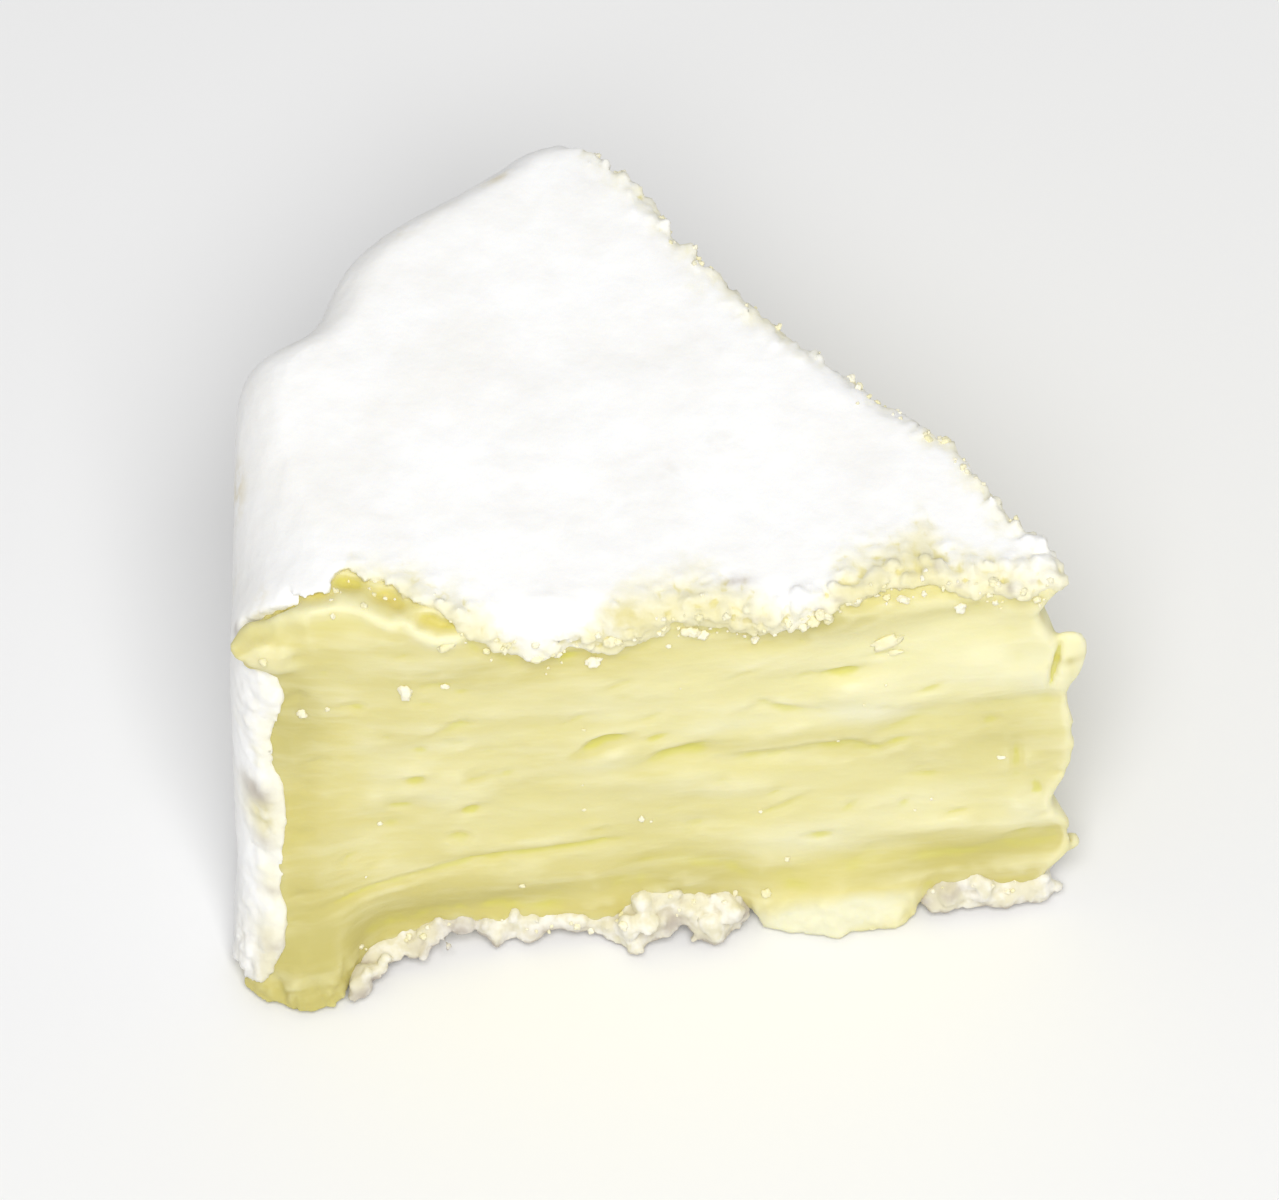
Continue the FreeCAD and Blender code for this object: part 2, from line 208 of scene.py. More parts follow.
# blade marks and dents of the near cut: points (x, z), depth, softness above, below
MARKS = [
    ([(-30.6, 19.0), (-29.3, 20.0), (-27.7, 20.4)], 0.55, 0.34, 0.80),
    ([(-39.9, 21.8), (-38.4, 22.7), (-36.8, 22.7)], 0.32, 0.32, 0.9),
    ([(-41.6, 20.2), (-40.2, 20.5)], 0.18, 0.3, 0.6),
    ([(-42.3, 17.1), (-40.4, 17.6)], 0.28, 0.36, 0.7),
    ([(-36.2, 17.3), (-34.6, 17.6)], 0.18, 0.3, 0.6),
    ([(-38.7, 13.5), (-37.2, 14.0)], 0.42, 0.45, 0.50),
    ([(-44.2, 12.7), (-42.2, 13.1)], 0.14, 0.4, 0.7),
    ([(-26.6, 17.2), (-25.0, 18.1), (-23.0, 18.7), (-21.4, 18.8)], 0.42, 0.45, 1.3),
    ([(-21.2, 17.1), (-18.6, 17.4), (-15.8, 17.7), (-13.0, 17.5), (-10.6, 16.2)], 0.38, 0.55, 1.4),
    ([(-20.0, 22.1), (-18.5, 22.8), (-17.2, 22.1), (-15.4, 21.7)], 0.26, 0.28, 0.7),
    ([(-14.4, 24.9), (-12.2, 25.7)], 0.42, 0.38, 0.7),
    ([(-11.5, 17.6), (-9.8, 18.9), (-7.6, 20.2), (-3.6, 20.5), (2.0, 20.8)], 0.55, 1.3, 3.4),
    ([(-2.3, 16.8), (-2.4, 13.6)], 0.26, 0.40, 0.40),
    ([(-1.3, 12.6), (-0.9, 10.8)], 0.22, 0.40, 0.40),
    ([(-19.8, 11.0), (-17.9, 11.7), (-15.9, 12.9)], 0.24, 0.30, 0.6),
    ([(-14.0, 10.8), (-12.7, 11.8)], 0.22, 0.35, 0.45),
    ([(-10.2, 10.9), (-9.3, 12.0)], 0.18, 0.32, 0.45),
    ([(-9.8, 14.1), (-7.0, 13.9)], 0.15, 0.3, 0.5),
    ([(-8.6, 17.4), (-7.0, 17.7)], 0.14, 0.5, 0.6),
    ([(-48.6, 6.6), (-45.6, 6.9), (-42.5, 7.4), (-38.3, 8.5), (-35.0, 9.0), (-32.0, 9.3), (-27.9, 9.7)], 0.22, 0.20, 0.50),
    ([(-46.5, 5.2), (-43.5, 5.8), (-40.0, 6.2)], 0.07, 0.2, 0.4),
    ([(-30.2, 4.6), (-28.4, 5.0), (-26.6, 6.0), (-24.2, 6.3), (-21.6, 5.6), (-19.4, 4.6)], 0.60, 2.0, 1.2),
    ([(-19.2, 3.4), (-16.6, 3.7), (-14.6, 4.6), (-12.0, 5.2), (-8.8, 5.2), (-5.0, 5.4), (2.0, 6.2)], 0.64, 2.0, 1.2),
    ([(-45.8, 2.6), (-43.0, 3.2), (-39.7, 3.9), (-35.8, 3.4), (-31.0, 3.0)], 0.42, 2.0, 0.9),
    ([(-48.2, 26.0), (-48.0, 20.0), (-48.6, 15.0), (-49.2, 9.0), (-50.4, 4.0)], 0.20, 0.9, 0.9),
]
RIDGES = [
    ([(-15.0, 23.2), (-12.0, 23.4), (-8.8, 23.2)], 0.26, 1.1, 1.3),
    ([(-6.0, 26.0), (-2.0, 25.9)], 0.28, 2.4, 2.6),
    ([(-13.5, 8.7), (-9.0, 9.1), (-4.5, 9.6)], 0.26, 1.4, 1.5),
    ([(-29.4, 18.4), (-27.4, 18.9)], 0.13, 0.5, 0.7),
    ([(-39.4, 20.6), (-37.2, 21.0)], 0.13, 0.5, 0.7),
    ([(-18.8, 20.3), (-15.0, 20.2)], 0.18, 0.7, 0.8),
    ([(-13.6, 24.1), (-12.2, 24.1)], 0.14, 0.4, 0.5),
    ([(-41.0, 9.2), (-36.0, 9.9), (-30.5, 10.3)], 0.13, 0.55, 0.55),
    ([(-24.0, 14.0), (-18.0, 14.4)], 0.18, 1.2, 1.2),
    ([(-45.0, 15.4), (-43.0, 15.6)], 0.12, 1.2, 1.2),
    ([(-3.4, 10.2), (-1.4, 10.6)], 0.2, 1.0, 1.0),
]
# hollows in the smeared edge at the rim end of the near cut: place, mm down,
# depth, half width, half height
PITS = [(-50.4, -2.3, 0.65, 0.8, 0.7), (-48.6, -0.75, 0.70, 1.25, 0.55), (-44.6, -2.2, 0.65, 0.85, 0.50),
        (-42.3, -1.3, 0.70, 0.80, 0.60), (-41.5, -0.7, 0.40, 0.55, 0.40), (-39.6, 0.35, 0.60, 0.70, 0.45),
        (-38.6, 0.85, 0.65, 0.90, 0.36), (-46.6, -1.3, 0.3, 0.8, 0.4)]
# and the crest in front of them: points (place, mm down), height, half width
CREST = [([(-51.2, 2.0), (-49.4, 1.2), (-47.4, 0.1), (-45.6, -0.5), (-43.9, -0.4)], -0.60, 0.6, 0.9),
         ([(-44.4, -0.6), (-43.2, 0.2), (-42.2, 0.7), (-41.2, 0.7), (-40.2, 1.6), (-39.2, 2.3), (-38.0, 2.2), (-36.8, 1.6)],
          -0.50, 0.40, 0.65)]
# thicker places of the torn foot: centre, size
ROLLS = [(-46.5, -4.7, 0.7, 0.32), (-46.3, -4.2, 1.3, 0.42), (-45.7, -3.9, 1.0, 0.36), (-45.5, -3.5, 1.7, 0.42),
         (-44.8, -3.2, 1.3, 0.40), (-44.3, -2.8, 1.9, 0.42),
         (-28.2, -1.9, 2.4, 0.8), (-27.0, -2.0, 2.8, 0.7), (-22.8, -2.0, 2.2, 0.7),
         (-21.4, -1.4, 2.5, 0.6), (-7.2, -0.9, 2.0, 0.5), (-4.9, -0.9, 2.0, 0.5)]
# paste run out over the board: extra reach of the lobe at the rim end, and of the fold nearer the tip
LOBE = [(-57, 0.6), (-53.2, 0.7), (-52.2, 1.4), (-51.6, 1.1), (-50.8, 1.5), (-49.8, 2.2), (-48.6, 2.3), (-47.9, 2.6), (-47.2, 2.9), (-46.7, 2.4), (-46.2, 1.5),
        (-45.6, 0.7), (-44.8, 0.3), (-43.2, 0.05), (-41, 0.0), (6, 0.0)]
FOLD = [(-57, 0.0), (-22, 0.0), (-20.6, 0.1), (-19.6, 0.8), (-18.8, 1.2), (-17.4, 1.4), (-16.2, 1.5), (-15.5, 2.1), (-14.4, 2.1),
        (-13.2, 1.6), (-12.2, 1.8), (-10.9, 1.5), (-9.8, 1.2), (-9.0, 0.5), (-8.2, 0.0), (6, 0.0)]
# mound of smeared paste at that end: centre and half axes
SMEAR = [(-49.8, 2.7, 29.0, 2.2, 1.2, 1.5), (-51.1, 3.2, 29.7, 1.1, 1.0, 1.0), (-48.2, 2.8, 30.2, 1.8, 0.9, 0.8)]
# the tip's folded flap, the crease before it (a cut), and the nib lower down:
# centre, half axes, turn, blend
FLAPS = [(0.95, 1.05, 24.3, 1.35, 0.60, 2.8, -0.20, 0.40), (0.42, 0.20, 24.6, 0.24, 0.75, 2.6, -0.185, -0.22),
         (0.85, 1.0, 4.4, 0.80, 0.6, 0.42, 0.2, 0.6)]


# grey smudges of the rind, and painted shadow in the gaps of the foot and the torn lip and under the smear:
# on the near side (x, z), and on its torn lip (x, mm up)
GREY_AND_SHADE_SPOTS = [(-51.3, 28.4, 0.9, 1.2, 0.40), (-51.7, 16.4, 0.75, 0.9, 0.9), (-51.4, 12.4, 0.35, 0.8, 0.6),
         (-51.0, 8.4, 0.5, 0.8, 0.4), (-51.2, 4.6, 0.4, 0.9, 0.4), (-52.3, 0.5, 0.9, 1.0, 0.45),
         (-45.8, 0.9, 0.75, 1.3, 0.6), (-43.6, 0.9, 0.5, 1.2, 0.3), (-39.2, 2.2, 0.9, 1.5, 0.6),
         (-36.9, 1.0, 0.5, 0.8, 0.4), (-33.6, 1.1, 0.7, 1.4, 0.35), (-31.6, 1.2, 0.6, 0.9, 0.4),
         (-29.4, 2.6, 0.45, 0.7, 0.8), (-25.3, 1.9, 0.9, 1.0, 0.65), (-23.6, 1.0, 0.4, 0.6, 0.4),
         (-20.6, 2.0, 0.9, 0.8, 0.6), (-9.2, 1.4, 0.9, 0.9, 0.6), (-7.0, 2.4, 0.6, 1.1, 0.35),
         (-5.2, 1.5, 0.4, 0.5, 0.5), (-3.2, 0.8, 0.35, 1.5, 0.3), (-21.9, 0.9, 0.45, 0.8, 0.5),
         (-27.0, 1.4, 0.35, 0.6, 0.6), (-41.4, 1.4, 0.5, 1.3, 0.35)]
LIP_GREY_AND_SHADE_SPOTS = [(-19.8, 1.2, 0.9, 0.9, 0.35), (-18.8, -2.3, 0.4, 0.9, 0.3), (-14.6, -1.9, 0.75, 0.35, 0.3),
             (-13.4, -1.0, 0.5, 0.5, 0.3), (-6.9, 1.3, 0.6, 0.25, 0.5), (-5.6, -0.5, 0.55, 0.3, 0.3),
             (-2.3, -1.1, 0.7, 0.4, 0.4), (-0.9, -0.6, 0.5, 0.4, 0.3), (-9.6, -0.6, 0.35, 0.4, 0.25)]
# deeper cream of the torn lip (x, mm down) and of the rim's strip (x, z)
LIP_TONES = [(-26.8, 1.2, 1.40, 1.8, 1.4), (-23.4, -0.6, 0.35, 1.5, 0.8), (-12.4, 0.2, 0.45, 1.6, 0.8),
             (-9.0, -1.4, 0.45, 2.0, 1.2), (-29.6, 3.0, 0.4, 1.2, 0.6)]
SIDE_TONES = [(-51.2, 14.6, 1.2, 1.2, 2.2), (-50.5, 19.2, 0.35, 0.5, 1.2), (-51.2, 9.4, 0.6, 0.7, 1.6),
              (-51.6, 5.0, 0.7, 1.0, 1.6)]
# tan and yellowish patches of the upper rind, and faint scratches painted in as pale grey shade lines (x, y)
TANS = [(-33.3, 36.6, 0.9, 1.2, 0.45, 27), (-39.5, 32.8, 0.5, 1.7, 0.6, 28), (-51.4, 15.2, 0.9, 1.9, 0.5, 92),
        (-52.0, 9.6, 0.4, 1.2, 0.4, 85), (-7.5, 5.2, 0.40, 1.0, 0.35, -65), (-50.3, 5.3, 0.5, 1.0, 0.5, 60),
        (-36.4, 34.9, 0.3, 1.0, 0.3, 30)]
SCRATCH_SHADE_LINES = [(-23.5, 12.0, 0.9, 6.5, 0.22, 26), (-21.8, 12.2, 0.7, 4.2, 0.18, 24), (-26.4, 9.8, 0.7, 3.6, 0.2, 27),
             (-19.6, 14.4, 0.8, 3.8, 0.2, 25), (-25.0, 13.2, 0.5, 3.0, 0.5, 22), (-28.7, 9.9, 0.5, 2.4, 0.25, 20),
             (-42.4, 9.4, 0.9, 2.0, 0.2, -14), (-41.4, 7.6, 0.7, 1.3, 0.2, -12), (-43.9, 10.2, 0.5, 1.2, 0.2, -10),
             (-21.0, 22.2, 0.5, 3.8, 0.5, -4), (-19.4, 20.9, 0.8, 0.9, 0.25, 0), (-22.6, 21.3, 0.7, 0.9, 0.25, 5)]


# where the near cut is painted a deeper yellow (positive) or paler: partly the paste's own tone,
# partly painted shade under the torn lip and in the low grooves, and painted highlight on the bulges:
# x, z, strength, half length, half height, turn
TONE_AND_SHADE_PATCHES = [(-3.2, 17.4, 0.62, 4.2, 2.8, 4), (-4.0, 4.9, 0.95, 6.0, 1.5, 6), (-11.6, 3.9, 0.70, 4.5, 1.0, 8),
         (-24.0, 4.8, 0.95, 5.0, 1.4, -6), (-38.8, 4.2, 0.85, 8.0, 1.6, 6), (-43.8, 3.4, 0.55, 3.2, 1.5, 8), (0.85, 24.7, 1.00, 0.5, 1.8, -80), (-15.6, 30.4, 0.95, 5.0, 1.4, 4),
         (-33.0, 28.2, 0.65, 6.5, 1.4, 4), (-49.0, 23.0, 0.95, 2.4, 6.0, 0), (-49.2, 2.4, 1.10, 4.0, 5.0, 0), (-48.6, 10.0, 0.40, 2.6, 5.0, 0),
         (-7.0, 31.4, 0.50, 4.5, 1.0, 2), (-19.5, 18.4, 0.45, 6.5, 1.1, 3), (-12.0, 16.8, 0.40, 4.0, 1.1, -3),
         (-36.0, 16.6, 0.25, 4.0, 0.8, 4), (-29.0, 19.6, 0.40, 1.6, 0.6, 22), (-24.5, 11.0, 0.20, 5.0, 1.2, 5),
         (-16.1, 8.2, -0.65, 4.2, 1.8, 4), (-12.4, 21.2, -0.80, 3.2, 1.3, -4), (-0.6, 23.6, -0.65, 1.6, 3.2, 0),
         (-24.2, 14.6, 0.30, 4.5, 1.5, 4), (-39.2, 20.6, -0.45, 3.0, 0.7, 8), (-39.6, 15.6, -0.35, 2.4, 1.0, 8),
         (-29.0, 17.4, -0.40, 2.6, 0.8, 12), (-1.6, 9.6, -0.60, 2.0, 2.2, 0), (-20.5, 20.8, -0.40, 4.0, 0.9, 4),
         (-30.0, 24.0, -0.15, 8.0, 2.0, 0), (-9.0, 11.5, -0.30, 4.0, 1.8, 4), (-43.2, 18.6, -0.25, 2.0, 2.2, 0),
         (-14.2, 1.6, -1.50, 3.6, 1.5, 8), (-17.8, 0.8, -1.10, 2.2, 1.0, 0), (-10.6, 1.8, -0.35, 1.6, 0.9, 10)]


def strokes(x, z, items):
    """Depth of long soft grooves with a crisper upper side."""
    total = 0.0
    for pts, depth, up, down in items:
        best = None
        span = sum(math.dist(p, q) for p, q in zip(pts[:-1], pts[1:]))
        fade = min(2.2, 0.35 * span + 0.3)
        done = 0.0
        for (x0, z0), (x1, z1) in zip(pts[:-1], pts[1:]):
            n = math.dist((x0, z0), (x1, z1))
            lx, lz = (x1 - x0) / n, (z1 - z0) / n
            t = (x - x0) * lx + (z - z0) * lz
            c = np.clip(t, 0, n)
            px, pz = x - (x0 + lx * c), z - (z0 + lz * c)
            across = px * -lz + pz * lx if abs(lx) > 0.3 else px
            w = np.where(across > 0, up, down)
            run = done + c
            ends = ease(-0.25 * fade, fade, run) * ease(-0.25 * fade, fade, span - run)
            v = np.exp(-(across / w) ** 2 - ((t - c) / (0.5 * (up + down) + 0.2)) ** 2) * (0.25 + 0.75 * ends)
            best = v if best is None else np.maximum(best, v)
            done += n
        total = total + depth * best
    return total


# =============================================================== the two cuts
def near_y(x, z, fine):
    """The near cut: Y of its surface.  fine adds the blade's marks."""
    s = np.clip(z / H, 0.0, 1.0)
    foot = -0.5 - 3.3 * bump(x, -50.6, 5.0)
    top = 0.5 + 1.8 * ease(-38.0, -52.0, x)
    y = foot + (top - foot) * (1.0 - (1.0 - s) ** 1.7)
    # paste that has run out at the foot: a lobe at the rim end, a fold nearer the tip
    low = np.maximum(0.0, 1.0 - z / 11.0) ** 2
    y = y - 0.6 * bump(x, -27.6, 2.6) * low
    y = y - curve(x, LOBE) * np.maximum(0.0, 1.0 - z / 8.5) ** 1.7
    y = y - curve(x, FOLD) * np.maximum(0.0, 1.0 - z / 7.0) ** 1.6
    if fine:
        zz = z - 0.10 * x
        w = 0.24 * N1(x / 7.5, 0.3, zz / 4.2) + 0.13 * N2(x / 4.2, 1.3, zz / 2.2)
        w = w + 0.03 * N3(x / 1.7, 2.3, zz / 1.1)
        # dents: only the noise's deeper hollows, a little torn
        w = w - 0.55 * np.maximum(0.0, N4(x / 2.6, 4.3, (z - 0.25 * x) / 1.15) - 0.42) * ease(5.0, 9.0, z)
        y = y - w * ease(0.0, 3.0, z)
        y = y + strokes(x, z, MARKS) - strokes(x, z, RIDGES)
    return y


FAR_MARKS, FAR_RIDGES = [], []
_r = np.random.default_rng(5)
for _i in range(20):
    _a, _z, _l = _r.uniform(3, 44), _r.uniform(6, 29), _r.uniform(1.5, 9)
    _t = _r.uniform(-0.12, 0.16)
    (FAR_MARKS if _i % 3 else FAR_RIDGES).append(
        ([(_a, _z), (_a + 0.5 * _l, _z + 0.5 * _l * _t + _r.uniform(-0.3, 0.3)), (_a + _l, _z + _l * _t)],
         _r.uniform(0.15, 0.65), _r.uniform(0.3, 0.7), _r.uniform(0.7, 2.2)))
FAR_MARKS.append(([(2.0, 4.6), (12.0, 5.2), (22.0, 4.2)], 0.8, 0.8, 0.8))
FAR_MARKS.append(([(25.0, 4.6), (36.0, 5.6), (44.0, 4.8)], 0.6, 0.8, 0.8))


def far_parts(x, y):
    dx, dy = x - FAR_X, y - FAR_Y
    return dx * math.cos(CUT_A) + dy * math.sin(CUT_A), dx * math.sin(CUT_A) - dy * math.cos(CUT_A)


def far_side(x, y, z, fine):
    along, out = far_parts(x, y)
    s = np.clip(z / H, 0.0, 1.0)
    out = out - 1.5 * bump(along, 12.5, 6.0) + 0.4 * bump(along, 25.0, 3.0) + 0.6 * bump(along, 32.0, 6.0)
    out = out - 1.2 * (1.0 - s) ** 1.7 * ease(8.0, 24.0, along)
    out = out + 1.2 * (1.0 - s) * (1.0 - ease(2.0, 12.0, along))
    if fine is not None:
        # fine is a table over (along, z) so that it isn't worked out at every point
        a_ax, z_ax, tab = fine
        fa = np.clip((along - a_ax[0]) / (a_ax[1] - a_ax[0]), 0, len(a_ax) - 1.001)
        fz = np.clip((z - z_ax[0]) / (z_ax[1] - z_ax[0]), 0, len(z_ax) - 1.001)
        fa, fz = np.broadcast_arrays(fa, fz)
        ia, iz = fa.astype(np.int32), fz.astype(np.int32)
        ua, uz = fa - ia, fz - iz
        v = (tab[ia, iz] * (1 - ua) + tab[ia + 1, iz] * ua) * (1 - uz)
        v = v + (tab[ia, iz + 1] * (1 - ua) + tab[ia + 1, iz + 1] * ua) * uz
        out = out - v
    return out


def far_table():
    a_ax, z_ax = np.arange(-4, 62, 0.2), np.arange(-2, 38, 0.2)
    A, Z = np.meshgrid(a_ax, z_ax, indexing="ij")
    zz = Z + 0.06 * A
    w = 0.20 * N1(A / 7.5, 7.3, zz / 3.2) + 0.11 * N2(A / 3.6, 8.3, zz / 1.6) + 0.03 * N3(A / 1.7, 9.3, zz / 0.9)
    w = w * ease(0.0, 3.0, Z) - strokes(A, Z, FAR_MARKS) + strokes(A, Z, FAR_RIDGES)
    return a_ax, z_ax, w.astype(F)


FAR_FINE = far_table()


# =============================================================== rim, top, bottom
def rim_radius(angle, z):
    r = curve(angle, RIM) - 0.45
    r = r + (0.3 + 0.8 * ease(135.0, 165.0, angle)) * (1.0 - ((z - 0.45 * H) / (0.55 * H)) ** 2)
    r = r + 1.1 * np.maximum(0.0, 1.0 - z / 9.0) ** 2
    corner = ease(181.0, 184.5, angle)              # the foot beside the near cut, where the paste has run
    r = r + 0.95 * corner * np.maximum(0.0, 1.0 - z / 4.0)
    r = r + 0.75 * ease(166.0, 177.0, angle) * np.maximum(0.0, 1.0 - z / 17.0)
    e = 4.2 + 3.4 * ease(157.0, 171.0, angle)
    r = r - np.where(z > H - e, e - np.sqrt(np.maximum(0.0, e ** 2 - (z - H + e) ** 2)), 0.0)
    r = r - (1.0 - 0.75 * corner) * np.where(z < FOOT, FOOT - np.sqrt(np.maximum(0.0, FOOT ** 2 - (FOOT - z) ** 2)), 0.0)
    return r


def top_z(x, y):
    r = np.hypot(x, y)
    z = H - 0.05 - 0.45 * (1.0 - r / 60.0)
    z = z + 0.16 * N4(x / 13.0, y / 13.0, 0.4) + 0.10 * N5(x / 6.0, y / 5.0, 1.4) - 0.16
    return z


def cut_depths(x, y, z):
    """How far behind each cut a point lies (smooth cuts, positive inside)."""
    return y - near_y(x, z, False), -far_side(x, y, z, None)


def lip_far(along):
    v = 1.6 + 1.3 * N1(along / 7.0, 3.7, 0.2) + 0.9 * N2(along / 3.0, 4.7, 0.2)
    return np.maximum(v + 1.4 * bump(along, 22.0, 3.0), 0.3)


def sole_far(along):
    return 2.2 + 1.1 * N1(along / 6.0, 5.7, 0.2) + 0.8 * N2(along / 2.6, 6.7, 0.2)


def surface_run(depth_down, depth_in):
    """Distance over the edge: down the cut, or back over the top if negative."""
    return depth_down - depth_in - 3.0 * np.maximum(0.0, np.minimum(depth_in, depth_down) - 1.5)


def spots(x, run, items, scale=1.0):
    """Sum of soft spots (place, mm down, [depth,] half width, half height)."""
    total = 0.0
    for it in items:
        d = it[2] if len(it) == 5 else 1.0
        total = total + d * np.exp(-((x - it[0]) / (scale * it[-2])) ** 2 - ((run - it[1]) / (scale * it[-1])) ** 2)
    return total


def patches(x, y, items):
    """Soft long patches on the rind: centre, strength, half length, half width, bearing."""
    total = 0.0
    for cx, cy, v, a, b, turn in items:
        c, s = math.cos(math.radians(turn)), math.sin(math.radians(turn))
        u, w = (x - cx) * c + (y - cy) * s, (y - cy) * c - (x - cx) * s
        total = total + v * np.exp(-(u / a) ** 2 - (w / b) ** 2)
    return total


def rind_mask(x, y, z, ragged=0.0):
    """Positive where rind covers the surface, millimetres from its torn edge."""
    b, bf = cut_depths(x, y, z)
    along, _ = far_parts(x, y)
    down = H - z
    run = surface_run(down, b)
    near = np.maximum(curve(x, LIP) + ragged - run, curve(x, SOLE) + 0.8 * ragged - z)
    near = np.maximum(near, curve(z, STRIP) + 0.8 * ragged - x)
    far = np.maximum(lip_far(along) + ragged - surface_run(down, bf), sole_far(along) + 0.8 * ragged - z)
    far = np.maximum(far, along - 46.6 + 0.7 * ragged)
    # all of the rim itself, but for the smeared place at the top of the near corner
    angle = np.degrees(np.arctan2(y, x)) % 360.0
    out = np.hypot(x, y) - rim_radius(angle, z) + SKIN - 0.3 + 0.4 * ragged
    wrap = np.minimum(b - 7.0 * ease(26.5, 28.5, z) - 7.0 * ease(3.0, 1.0, z) * ease(4.0, 2.0, b), bf) + out
    return np.maximum(np.minimum(near, far), wrap)


def wedge(x, y, z, fine):
    """Distance to the bare cheese without its rind's thickness."""
    yn = near_y(x, z, fine)
    a = yn - y
    b = far_side(x, y, z, FAR_FINE if fine else None)
    angle = np.degrees(np.arctan2(y, x)) % 360.0
    c = np.hypot(x, y) - rim_radius(angle, z) + SKIN
    d = z - top_z(x, y) + SKIN
    # run-out paste sits on the board itself
    run_out = ease(-55.0, -53.4, x) * (1 - ease(-46.6, -45.2, x)) + ease(-20.6, -19.2, x) * (1 - ease(-9.6, -8.4, x))
    e = SKIN * (1.0 - np.minimum(run_out, 1.0) * (1.0 - ease(1.0, 5.0, y))) + 0.03 - z
    t = x - curve(z, TIP)
    soft = 0.9 + 2.2 * bump(x, -46.5, 6.0) + 1.3 * bump(x, -10.0, 5.0) + 0.9 * bump(x, -33.0, 3.0)
    soft_far = 0.9
    near_k = 3.8 * (0.35 + 0.65 * ease(0.0, 12.0, z))
    cut = meet(meet(a, b, 0.7), t, 0.5)
    w = np.maximum(meet(a, c, near_k), meet(b, c, 3.4))
    w = np.maximum(w, meet(cut, d, np.broadcast_to(soft, np.broadcast(x, y, z).shape)))
    w = np.maximum(w, meet(b, d, soft_far))
    w = np.maximum(w, meet(cut, e, 0.4))
    return np.maximum(w, c).astype(F)


# =============================================================== meshing
def surface_nets(phi, X, Y, Z):
    inside = phi < 0
    s = inside.astype(np.int8)
    cnt = sum(s[i:s.shape[0] - 1 + i, j:s.shape[1] - 1 + j, k:s.shape[2] - 1 + k]
              for i in (0, 1) for j in (0, 1) for k in (0, 1))
    active = (cnt > 0) & (cnt < 8)
    I = np.argwhere(active)
    vid = np.full(active.shape, -1, np.int32)
    vid[active] = np.arange(len(I))
    axes = (X, Y, Z)
    acc, num = np.zeros((len(I), 3)), np.zeros(len(I))
    for ax in range(3):
        others = [a for a in range(3) if a != ax]
        for p in (0, 1):
            for q in (0, 1):
                o = [0, 0, 0]
                o[others[0]], o[others[1]] = p, q
                A = I + o
                B = A.copy()
                B[:, ax] += 1
                pa, pb = phi[tuple(A.T)], phi[tuple(B.T)]
                hit = (pa < 0) != (pb < 0)
                t = np.where(hit, pa / np.where(hit, pa - pb, 1.0), 0.0)
                P = np.stack([axes[i][A[:, i]] for i in range(3)], 1).astype(float)
                P[:, ax] += t * (axes[ax][B[:, ax]] - axes[ax][A[:, ax]])
                acc[hit] += P[hit]
                num[hit] += 1
    verts = acc / num[:, None]
    quads = []
    n = inside.shape
    for ax in range(3):
        u, v = (ax + 1) % 3, (ax + 2) % 3
        lo, hi = [slice(1, -1)] * 3, [slice(1, -1)] * 3
        lo[ax], hi[ax] = slice(0, n[ax] - 1), slice(1, n[ax])
        flip = inside[tuple(lo)] != inside[tuple(hi)]
        E = np.argwhere(flip)
        first = inside[tuple(lo)][flip]
        E[:, u] += 1
        E[:, v] += 1
        c = []
        for du, dv in ((-1, -1), (0, -1), (0, 0), (-1, 0)):
            C = E.copy()
            C[:, u] += du
            C[:, v] += dv
            c.append(vid[tuple(C.T)])
        Q = np.stack(c, 1)
        Q[~first] = Q[~first][:, ::-1]
        quads.append(Q)
    return biggest(verts, np.concatenate(quads))


def biggest(verts, quads):
    """Only the largest connected body: loose specks go."""
    label = np.arange(len(verts))
    e = edges_of(quads)
    while True:
        low = np.minimum(label[e[:, 0]], label[e[:, 1]])
        new = label.copy()
        np.minimum.at(new, e[:, 0], low)
        np.minimum.at(new, e[:, 1], low)
        new = new[new]
        if (new == label).all():
            break
        label = new
    keep = label == np.bincount(label).argmax()
    index = np.cumsum(keep) - 1
    return verts[keep], index[quads[keep[quads[:, 0]]]].astype(np.int32)


def edges_of(quads):
    e = np.concatenate([quads[:, [i, (i + 1) % 4]] for i in range(4)])
    e.sort(axis=1)
    key = np.unique(e[:, 0].astype(np.int64) << 32 | e[:, 1])
    return np.stack([key >> 32, key & 0xFFFFFFFF], 1)


def relax(verts, quads, steps):
    """Smoothing steps; (0.5, -0.52) pairs take the grid's steps out without shrinking."""
    e = edges_of(quads)
    n = len(verts)
    deg = np.bincount(e.ravel(), minlength=n).astype(float)
    for step in steps:
        s = np.stack([np.bincount(e[:, 0], verts[e[:, 1], i], n) + np.bincount(e[:, 1], verts[e[:, 0], i], n)
                      for i in range(3)], 1)
        verts = verts + step * (s / deg[:, None] - verts)
    return verts


def normals_of(verts, quads):
    a = verts[quads[:, 2]] - verts[quads[:, 0]]
    b = verts[quads[:, 3]] - verts[quads[:, 1]]
    fn = np.cross(a, b)
    out = np.zeros_like(verts)
    for i in range(3):
        for k in range(4):
            out[:, i] += np.bincount(quads[:, k], fn[:, i], len(verts))
    return out / np.maximum(np.linalg.norm(out, axis=1, keepdims=True), 1e-9)


